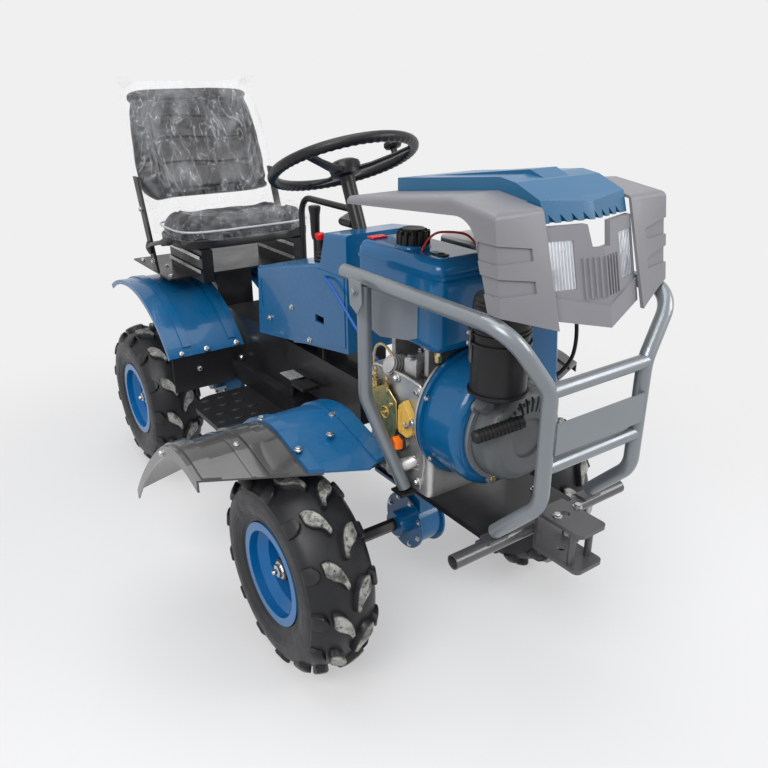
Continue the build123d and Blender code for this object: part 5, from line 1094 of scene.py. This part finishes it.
def add_case_covers():
    outline = on_side(COVER_RIM, 0.12)
    rim = Shape().tube(curved(outline + outline[:1], 3)[:-1], 0.0042, 8, True)
    bolts = Shape()
    for ahead, up in COVER_BOLTS:
        rim.turned(at(0.112, ahead, up), RIGHT, [(0.0, 0.0095), (0.0125, 0.0095), (0.0138, 0.008)], 18)
        bolts.bolt(at(0.1262, ahead, up), RIGHT, 0.0095, 0.006, up * 30)
    for up in (0.5 - 0.02, 0.512 - 0.02, 0.524 - 0.02):
        rim.tube(places((0.1195, 0.13, up), (0.124, 0.15, up), (0.1195, 0.166, up)), 0.0022, 8)
    piece("cover_rim", rim, "aluminium")
    for place in ((0.112, 0.118, 0.713), (0.07, 0.1, 0.713)):
        bolts.bolt(at(*place), UP, 0.01, 0.006)
    piece("cover_bolts", bolts, "plated")
    rows = []
    for step in range(COVER_FINS):
        rows += [(step * 0.006, 0.029 - step * 0.002), (step * 0.006 + 0.0032, 0.029 - step * 0.002),
                 (step * 0.006 + 0.0036, 0.025 - step * 0.002), (step * 0.006 + 0.0056, 0.025 - step * 0.002)]
    rows += [(0.031, 0.018), (0.034, 0.01)]
    way = (RIGHT * 0.9 + UP * 0.45).normalized()
    piece("valve_gear_cover", Shape().turned(at(0.096, 0.06, 0.668), way, rows, 32), "aluminium")
    route = places((0.108, 0.15, 0.5), (0.124, 0.14, 0.49), (0.136, 0.126, 0.48), (0.142, 0.104, 0.47))
    way = at(0.146, 0.09, 0.464) - route[-1]
    elbow = Shape().tube(curved(route, 5), 0.0145, 18)
    elbow.turned(route[-1], way, [(-0.002, 0.0185), (0.006, 0.0185), (0.007, 0.0165)], 24)
    rows = [(0.0, 0.02), (0.014, 0.019), (0.018, 0.015), (0.022, 0.009)]
    elbow.turned(at(0.106, 0.06, 0.498), RIGHT, rows, 26)
    piece("oil_elbow", elbow, "aluminium")
    piece("drain_plug", Shape().bolt(at(0.1445, 0.096, 0.467), way, 0.016, 0.009), "brass")
    rows = [(0.0, 0.133), (0.001, 0.1345), (0.0075, 0.1345), (0.008, 0.1335)]
    piece("case_flange", Shape().turned(on_crank(0.188), AHEAD, rows, 72), "aluminium")
    rows = [(0.0, 0.1362), (0.0042, 0.1362)]
    piece("cowl_gasket", Shape().turned(on_crank(0.196), AHEAD, rows, 72), "hose")
    rows = [(0.0, 0.0085), (0.008, 0.009), (0.017, 0.0125), (0.02, 0.0125)]
    outlet = Shape().turned(at(0.098, 0.19, 0.736), UP, rows, 20)
    outlet.turned(at(0.098, 0.19, 0.722), UP, [(0.0, 0.0075), (0.012, 0.0085), (0.014, 0.0085)], 6)
    piece("tank_outlet", outlet, "brass")


# Fan cowl and recoil starter, about the crankshaft
COWL_BOLT_TURNS = (25, 85, 145, 205, 265, 325)
STARTER_TURNS = (38, 118, 200, 290)
LOUVRE_ROWS = [
    # (radius, ahead, how far each leans outward)
    (0.0735, 0.3625, 0.22), (0.0855, 0.3652 - 0.011, 0.55),
]
LOUVRES = 13
HANDLE_RIBS = 12


def on_crank(ahead):
    """A place on the crankshaft's axis."""
    return at(0.02, ahead, 0.607)


def around(degrees):
    """An angle in radians and the direction at it, from the right upward."""
    turn = math.radians(degrees)
    return turn, RIGHT * math.cos(turn) + UP * math.sin(turn)


def add_cowl_and_starter():
    bolts = Shape()
    for turn, spoke in map(around, COWL_BOLT_TURNS):
        bolts.bolt(on_crank(0.2083) + spoke * 0.1322, AHEAD, 0.008, 0.006, turn)
    piece("cowl_bolts", bolts, "plated")
    face = on_crank(0.309)
    rows = [(-0.006, 0.1045), (0.0002, 0.1055), (0.0026, 0.105), (0.003, 0.0955), (0.0006, 0.0945)]
    ring, heads = Shape().turned(face, AHEAD, rows, 80), Shape()
    for turn, spoke in map(around, STARTER_TURNS):
        ring.turned(face + spoke * 0.1045, AHEAD, [(-0.004, 0.0125), (0.0028, 0.0125), (0.0032, 0.0115)], 24)
        heads.bolt(face + spoke * 0.105 + AHEAD * 0.0032, AHEAD, 0.0085, 0.0045, turn)
    piece("starter_ring", ring, "strut_grey")
    piece("starter_bolts", heads, "brass")
    # Painted shade: thin black slabs stand in for the dark openings of the louvre slots.
    slot_shade = Shape()
    for radius, ahead, tilt in LOUVRE_ROWS:
        for turn, spoke in (around(28 + step * 9.5) for step in range(LOUVRES)):
            side = UP * math.cos(turn) - RIGHT * math.sin(turn)
            lean = (AHEAD + spoke * tilt).normalized()
            slope = lean.cross(side).normalized()
            place = on_crank(ahead) + spoke * radius
            outline = [place + side * a * 0.003 + slope * b * 0.0042
                       for a, b in ((1, 1), (-1, 1), (-1, -1), (1, -1))]
            slot_shade.slab(outline, lean * 0.0012, 0.0004)
    piece("starter_louvre_shade", slot_shade, "black_plastic")
    first, last = places((0.15, 0.352, 0.64), (0.058, 0.386, 0.662))
    way = (last - first).normalized()
    long = (last - first).length
    rows = [(0.0, 0.008), (0.003, 0.0118)]
    for step in range(HANDLE_RIBS):
        spot = 0.006 + (long - 0.012) * step / HANDLE_RIBS
        rib = long / HANDLE_RIBS
        rows += [(spot, 0.0128), (spot + rib * 0.5, 0.0128),
                 (spot + rib * 0.6, 0.0112), (spot + rib * 0.9, 0.0112)]
    handle = Shape().turned(first, way, rows + [(long - 0.003, 0.0118), (long, 0.008)], 20)
    middle = (first + last) / 2
    rows = [(0.0, 0.0095), (0.014, 0.0085), (0.026, 0.006)]
    handle.turned(middle + way * 0.004, at(0.075, 0.352, 0.63) - middle, rows, 16)
    piece("starter_handle", handle, "hose")
    route = [middle, middle - AHEAD * 0.016 - UP * 0.008, at(0.078, 0.35, 0.626)]
    rope = Shape().tube(curved(route, 6), 0.0028, 8)
    hole_ring(rope, at(0.078, 0.356, 0.626), AHEAD + RIGHT * 0.2, 0.0095, 0.003)
    piece("starter_rope_eye", rope, "dark_plastic")


# Air filter and fuel tank
FILTER_PLACE = (0.1, 0.356)
CAP_PLACE = (0.092, 0.098)
CAP_GRIPS = 14
CLIP_WAY = (RIGHT * 0.86 - AHEAD * 0.5).normalized()
CLIP_LEAVES = [
    # (foot, top, half width, distance from the filter's axis)
    (0.778, 0.846, 0.007, 0.05), (0.806, 0.838, 0.0095, 0.053),
]
CLIP_WIRE = [(0.846, 0.053), (0.858, 0.056), (0.862, 0.052), (0.855, 0.0495)]


def flat_plate(right0, right1, ahead0, ahead1, up):
    """The corners of a level rectangle."""
    return places((right1, ahead0, up), (right0, ahead0, up), (right0, ahead1, up), (right1, ahead1, up))


def add_filter_and_tank():
    rims = Shape()
    rows = [(0.0, 0.05), (0.0008, 0.0522), (0.0032, 0.0522), (0.004, 0.05)]
    for up in (0.83, 0.8375):
        rims.turned(at(*FILTER_PLACE, up), UP, rows, 56)
    rims.turned(at(*FILTER_PLACE, 0.889), UP, [(0.0, 0.048), (0.004, 0.0465), (0.0045, 0.02)], 56)
    piece("filter_rims", rims, "black_plastic")
    side = UP.cross(CLIP_WAY).normalized()
    clip = Shape()
    for foot, top, wide, out in CLIP_LEAVES:
        place = at(*FILTER_PLACE, 0) + CLIP_WAY * out
        outline = [place + side * a * wide + UP * up
                   for a, up in ((1, foot), (-1, foot), (-1, top), (1, top))]
        clip.slab(outline, CLIP_WAY * 0.003, 0.0008)
    clip.tube(curved([at(*FILTER_PLACE, up) + CLIP_WAY * out for up, out in CLIP_WIRE], 5), 0.0016, 8)
    piece("filter_clip", clip, "iron")
    pins = Shape()
    for up in (0.812, 0.83):
        pins.screw(at(*FILTER_PLACE, up) + CLIP_WAY * 0.0562, CLIP_WAY, 0.0042, 0.0025)
    piece("filter_clip_pins", pins, "plated")
    piece("blank_side_plate", Shape().slab(on_side(SIDE_PLATE, 0.142), RIGHT * 0.0016, 0.0005), "plate_grey")
    neck = Shape().turned(at(*CAP_PLACE, 0.929), UP, [(0.0, 0.036), (0.003, 0.0345), (0.006, 0.0325)], 40)
    piece("tank_neck", neck, "engine_blue")
    knurls = Shape()
    for step in range(CAP_GRIPS):
        turn = 2 * math.pi * step / CAP_GRIPS
        place = at(*CAP_PLACE, 0.9345) + (RIGHT * math.cos(turn) + AHEAD * math.sin(turn)) * 0.0292
        knurls.turned(place, UP, [(0.0, 0.003), (0.002, 0.004), (0.022, 0.004), (0.026, 0.0026)], 10)
    piece("tank_cap_grips", knurls, "black_plastic")
    rows = [(-0.001, 0.0085), (0.003, 0.008), (0.0045, 0.0055), (0.005, 0.002)]
    gauge = Shape().turned(at(0.1, 0.192, 0.93), UP, rows, 20)
    gauge.slab(flat_plate(0.092, 0.108, 0.166, 0.206, 0.9305), UP * 0.0025, 0.0008)
    piece("tank_gauge", gauge, "black_plastic")
    piece("tank_tab", Shape().slab(flat_plate(0.088, 0.124, -0.012, 0.01, 0.93), UP * 0.004, 0.0015), "red")


# Bolts: (right, ahead, up), the way each faces, and its flats
def mirrored(rows):
    """The same bolts on the left."""
    return [((-right, ahead, up), Vector((-way.x, way.y, way.z)), flats)
            for (right, ahead, up), way, flats in rows]


def flange_bolts(middle):
    """Eight bolts on each face of a drive case."""
    return [((side * 0.035, middle + 0.0595 * math.cos(turn), AXLE_UP + 0.0595 * math.sin(turn)),
             RIGHT * side, 0.009)
            for side in (-1, 1) for turn in (0.39 + 0.785 * i for i in range(8))]


FENDER_BOLTS = [
    ((0.327, -0.131, 0.541), UP, 0.011), ((0.323, 0.024, 0.53), UP, 0.011),
    ((0.237, 0.007, 0.533), UP, 0.011), ((0.19, -0.06, 0.54), UP, 0.011),
]
FENDER_EDGE_BOLT = [((0.5345, -0.189, 0.495), RIGHT, 0.01)]
DASH_BOLTS = [
    ((0.1025, -0.516, 0.628), RIGHT, 0.01), ((0.1025, -0.303, 0.626), RIGHT, 0.01),
    ((0.1025, -0.387, 0.69), RIGHT, 0.01),
]
SLOPE = AHEAD * 0.8 + UP * 0.6
MUDGUARD_TOP_BOLTS = [((0.185, -0.779, 0.48), SLOPE, 0.011), ((0.09, -0.779, 0.48), SLOPE, 0.011)]
MUDGUARD_BOLTS = [((0.212, -0.7815, 0.423), AHEAD, 0.011), ((0.075, -0.7815, 0.428), AHEAD, 0.011)]
SEAT_PLATE_BOLTS = [((0.215, -0.93, 0.6725), UP, 0.011), ((0.215, -1.18, 0.6725), UP, 0.011)]
SEAT_POST_BOLTS = [((0.2312, -1.024, 0.702), RIGHT, 0.012), ((0.2312, -1.085, 0.85), RIGHT, 0.012)]
BOLT_SETS = {
    # a bolt's place in its row sets how far its head is turned
    ("fender_bolts", "front_unit"):
        FENDER_BOLTS + [((0.42, -0.06, 0.536), UP, 0.009)] + FENDER_EDGE_BOLT
        + mirrored(FENDER_BOLTS) + mirrored(FENDER_EDGE_BOLT),
    ("hitch_bolts", "front_unit"): [
        ((0.019, 0.448, 0.48), UP, 0.012), ((-0.037, 0.447, 0.48), UP, 0.012),
        ((0.104, 0.384, 0.45), UP + AHEAD * 0.4 + RIGHT * 0.3, 0.016),
        ((-0.154, 0.384, 0.45), UP + AHEAD * 0.4, 0.016),
        ((-0.08, 0.3, 0.4305), UP, 0.012),
    ],
    ("front_case_bolts", "front_unit"): flange_bolts(0.0),
    ("rear_case_bolts", "root"): flange_bolts(-1.095),
    ("dash_bolts", "root"): DASH_BOLTS + mirrored(DASH_BOLTS),
    ("rear_fender_bolts", "root"):
        MUDGUARD_TOP_BOLTS + [((0.262, -0.779, 0.48), SLOPE, 0.009)] + mirrored(MUDGUARD_TOP_BOLTS)
        + MUDGUARD_BOLTS + mirrored(MUDGUARD_BOLTS),
    ("seat_plate_bolts", "root"):
        SEAT_PLATE_BOLTS + [((0.18, -1.06, 0.6725), UP, 0.009)] + mirrored(SEAT_PLATE_BOLTS)
        + SEAT_POST_BOLTS + mirrored(SEAT_POST_BOLTS),
}


def add_bolts():
    for (name, body), rows in BOLT_SETS.items():
        shape = Shape()
        for index, (place, way, flats) in enumerate(rows):
            shape.bolt(at(*place), way, flats, flats * 0.55, index * 0.7)
        piece(name, shape, "plated", body)


# Footboards, pedal, seat frame, steering knob and front end
DIMPLE_RINGS = ((1.0, -0.001), (0.92, 0.0014), (0.7, 0.0028), (0.25, 0.0033))
PEDAL_RIBS = 7
RAIL_UPS = (0.7, 0.74)
RAIL_RIGHTS = (0.133 - 0.0005, 0.167 + 0.0035)
CLAMP = [(0.085, 0.885), (0.125, 0.885), (0.128, 0.845), (0.112, 0.822), (0.088, 0.835)]


def add_footboards_and_pedal():
    dimples = Shape()
    outline = rounded(0.0165, 0.0085, 2.0, 18)
    for side in (-1, 1):
        for row in range(5):
            for column in range(3):
                middle = at(side * (0.145 + column * 0.048 + (row % 2) * 0.016), -0.682 + row * 0.052, 0.36)
                dimples.rings([[middle + RIGHT * x * scale + AHEAD * y * scale + UP * high
                                for x, y in outline] for scale, high in DIMPLE_RINGS])
    piece("footboard_dimples", dimples, "floor_rubber", "root")
    low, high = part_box("foot_pedal")
    ahead0, ahead1 = FRONT_AXLE_Y - high[1], FRONT_AXLE_Y - low[1]
    front = ahead0 + min(ahead1 - ahead0, 0.07)
    pad = Shape()
    for step in range(PEDAL_RIBS):
        start = ahead0 + 0.006 + (front - ahead0 - 0.01) * step / PEDAL_RIBS
        end = start + (front - ahead0 - 0.01) / PEDAL_RIBS * 0.62
        outline = places((-high[0] + 0.004, start, high[2]), (-low[0] - 0.004, start, high[2]),
                         (-low[0] - 0.004, end, high[2]), (-high[0] + 0.004, end, high[2]))
        pad.slab(outline, UP * 0.0035, 0.001)
    piece("pedal_pad_ribs", pad, "pad_grey", "root")


def add_seat_fittings():
    route = places((0.236, -1.04, 0.742), (0.24, -1.0, 0.758), (0.242, -0.93, 0.776), (0.242, -0.88, 0.786))
    handle = Shape().tube(curved(route, 6), 0.0065, 12)
    rows = [(0.0, 0.02), (0.006, 0.02), (0.008, 0.016), (0.012, 0.008)]
    handle.turned(at(0.2312, -1.04, 0.742), RIGHT, rows, 26)
    piece("recliner_handle", handle, "black_steel", "root")
    first, last = places((0.242, -0.892, 0.783), (0.242, -0.83, 0.797))
    rows = [(0.0, 0.0085), (0.004, 0.0105), (0.02, 0.01), (0.05, 0.0115), (0.06, 0.0105), (0.063, 0.006)]
    piece("recliner_grip", Shape().turned(first, last - first, rows, 20), "hose", "root")
    rails = Shape()
    for side in (-1, 1):
        for up in RAIL_UPS:
            for right in RAIL_RIGHTS:
                outline = [(-1.045, up), (-0.8, up), (-0.8, up + 0.01), (-1.045, up + 0.01)]
                rails.slab(on_side(outline, side * right), RIGHT * (0.003 * side) * 0.9, 0.0006)
    piece("seat_rails", rails, "plated", "root")


def add_front_fittings():
    rows = [(0.0, 0.0095), (0.01, 0.0075), (0.018, 0.008), (0.021, 0.019), (0.027, 0.0225), (0.034, 0.0215),
            (0.039, 0.015), (0.0405, 0.004)]
    knob = Shape().turned(on_wheel(RING_RADIUS - 0.01, math.radians(183), 0.008), WHEEL_AXIS, rows, 30)
    piece("spinner_knob", knob, "black_plastic", "steering_wheel")
    bezels, clamps = Shape(), Shape()
    for side in (1, -1):
        right, ahead = side * 0.062, 0.4455
        outline = places((right, ahead, 0.99), (right - side * 0.014, ahead + 0.003, 0.99),
                         (right - side * 0.026, ahead + 0.006, 0.902),
                         (right - side * 0.01, ahead + 0.003, 0.902))
        bezels.slab(outline, AHEAD * 0.003, 0.001)
    piece("lamp_bezels", bezels, "chrome")
    for side in (-1, 1):
        clamps.slab(on_side(CLAMP, side * 0.2285), RIGHT * 0.004 * side, 0.001)
        clamps.bolt(at(side * 0.2325, 0.105, 0.864), RIGHT * side, 0.013, 0.007)
    piece("strut_clamps", clamps, "strut_grey")


# Cords: name, look, diameter, length, stiffness, and points to pass by
CORDS = [
    ("throttle_cable", "blue_cable", 0.006, 0.301, "medium",
     [(0.098, -0.232, 0.8), (0.112, -0.205, 0.808), (0.114, -0.165, 0.79), (0.11, -0.11, 0.74),
      (0.104, -0.055, 0.69), (0.098, -0.018, 0.662), (0.092, 0.01, 0.645)]),
    ("fuel_hose", "hose", 0.0085, 0.095, "medium",
     [(0.098, 0.19, 0.724), (0.099, 0.188, 0.69), (0.1, 0.16, 0.672), (0.096, 0.128, 0.684)]),
    ("breather_hose", "amber_hose", 0.006, 0.119, "medium",
     [(0.112, -0.008, 0.66), (0.116, -0.006, 0.7), (0.117, 0.04, 0.724), (0.112, 0.066, 0.692)]),
    ("lamp_loom", "hose", 0.008, 0.183, "limp",
     [(-0.136, 0.282, 0.822), (-0.162, 0.292, 0.812), (-0.166, 0.3, 0.745), (-0.16, 0.294, 0.69),
      (-0.134, 0.278, 0.664)]),
    ("starter_wire", "red_wire", 0.0045, 0.16, "limp",
     [(0.112, 0.15, 0.93), (0.11, 0.168, 0.968), (0.086, 0.208, 0.974), (0.056, 0.226, 0.966),
      (0.03, 0.222, 0.929)]),
]


def add_cords():
    for name, look, diameter, length, stiffness, points in CORDS:
        data = bpy.data.curves.new(name, "CURVE")
        data.dimensions = "3D"
        data.bevel_depth = diameter / 2
        data.bevel_resolution = 4
        data.resolution_u = 12
        data.use_fill_caps = True
        spline = data.splines.new("NURBS")
        spline.points.add(len(points) - 1)
        for spot, point in zip(spline.points, points):
            spot.co = (*at(*point), 1.0)
        spline.order_u = 3
        spline.use_endpoint_u = True
        data.materials.append(LOOKS[look])
        made = placed(name, data)
        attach(made, "front_unit")


# Floor, world and lamps
FLOOR_SIDE = 14.0
BACKGROUND = (0.871, 0.871, 0.871, 1)
SKY = (0.93, 0.96, 1.0, 1)
SKY_STRENGTH = 0.5
FLOOR_COLOUR = (0.72, 0.72, 0.72, 1)
FLOOR_NEAR = 0.45
FLOOR_FADE = (0.9, 2.0)
LAMPS = [
    # name, place (right, ahead, up), aimed at, width, height, power
    ("key_lamp", (2.6, 1.6, 3.2), (0.0, -0.3, 0.6), 2.2, 1.6, 95.0),
    ("side_lamp", (-2.2, 2.4, 2.2), (0.0, 0.0, 0.7), 1.8, 1.8, 60.0),
    ("top_lamp", (0.3, -0.4, 3.6), (0.0, -0.4, 0.6), 2.8, 2.8, 60.0),
]


def joined(tree, kind, first, second):
    """Two values put through a maths node."""
    node = tree.nodes.new("ShaderNodeMath")
    node.operation = kind
    tree.links.new(first, node.inputs[0])
    tree.links.new(second, node.inputs[1])
    return node.outputs[0]


def from_view(tree):
    """1 for rays from the camera, mirrors and glass, which see the plain background."""
    path = tree.nodes.new("ShaderNodeLightPath").outputs
    total = joined(tree, "MAXIMUM", path["Is Camera Ray"], path["Is Glossy Ray"])
    return joined(tree, "MAXIMUM", total, path["Is Transmission Ray"])


def mixed_out(tree, share, first, second, output):
    """Two shaders mixed by a share and sent to an output node."""
    mix = tree.nodes.new("ShaderNodeMixShader")
    tree.links.new(share, mix.inputs["Fac"])
    tree.links.new(first.outputs[0], mix.inputs[1])
    tree.links.new(second.outputs[0], mix.inputs[2])
    tree.links.new(mix.outputs[0], tree.nodes[output].inputs["Surface"])


def add_floor():
    mesh = bpy.data.meshes.new("floor")
    half = FLOOR_SIDE / 2
    corners = [(-half, -half, 0), (half, -half, 0), (half, half, 0), (-half, half, 0)]
    mesh.from_pydata(corners, [], [(0, 1, 2, 3)])
    floor = placed("floor", mesh)
    material = bpy.data.materials.new("floor_paint")
    material.use_nodes = True
    tree = material.node_tree
    shader = tree.nodes["Principled BSDF"]
    shader.inputs["Base Color"].default_value = FLOOR_COLOUR
    shader.inputs["Roughness"].default_value = 0.9
    shader.inputs["Specular IOR Level"].default_value = 0.0
    plain = tree.nodes.new("ShaderNodeEmission")
    plain.inputs["Color"].default_value = BACKGROUND
    length = tree.nodes.new("ShaderNodeVectorMath")
    length.operation = "LENGTH"
    tree.links.new(tree.nodes.new("ShaderNodeTexCoord").outputs["Object"], length.inputs[0])
    fade = tree.nodes.new("ShaderNodeMapRange")
    fade.interpolation_type = "SMOOTHSTEP"
    tree.links.new(length.outputs["Value"], fade.inputs["Value"])
    fade.inputs["From Min"].default_value, fade.inputs["From Max"].default_value = FLOOR_FADE
    fade.inputs["To Min"].default_value = FLOOR_NEAR
    fade.inputs["To Max"].default_value = 1.0
    seen = joined(tree, "MULTIPLY", fade.outputs["Result"], from_view(tree))
    mixed_out(tree, seen, shader, plain, "Material Output")
    mesh.materials.append(material)


def add_world():
    world = bpy.data.worlds.new("studio")
    bpy.context.scene.world = world
    world.use_nodes = True
    tree = world.node_tree
    sky, seen = tree.nodes["Background"], tree.nodes.new("ShaderNodeBackground")
    for node, colour, strength in ((sky, SKY, SKY_STRENGTH), (seen, BACKGROUND, 1.0)):
        node.inputs["Color"].default_value = colour
        node.inputs["Strength"].default_value = strength
    mixed_out(tree, from_view(tree), sky, seen, "World Output")


def add_lamps():
    for name, place, target, width, height, power in LAMPS:
        data = bpy.data.lights.new(name, "AREA")
        data.shape = "RECTANGLE"
        data.size = width
        data.size_y = height
        data.energy = power
        lamp = placed(name, data)
        lamp.location = at(*place)
        lamp.rotation_euler = (at(*target) - at(*place)).to_track_quat("-Z", "Y").to_euler()


add_cords()
add_floor()
add_world()
add_lamps()
bpy.context.scene.view_settings.view_transform = "Standard"
add_tyres()
add_wheel_fittings()
add_seat()
add_film()
add_steering_wheel()
add_levers()
add_governor()
add_pump_and_filler()
add_case_covers()
add_cowl_and_starter()
add_filter_and_tank()
add_bolts()
add_footboards_and_pedal()
add_seat_fittings()
add_front_fittings()
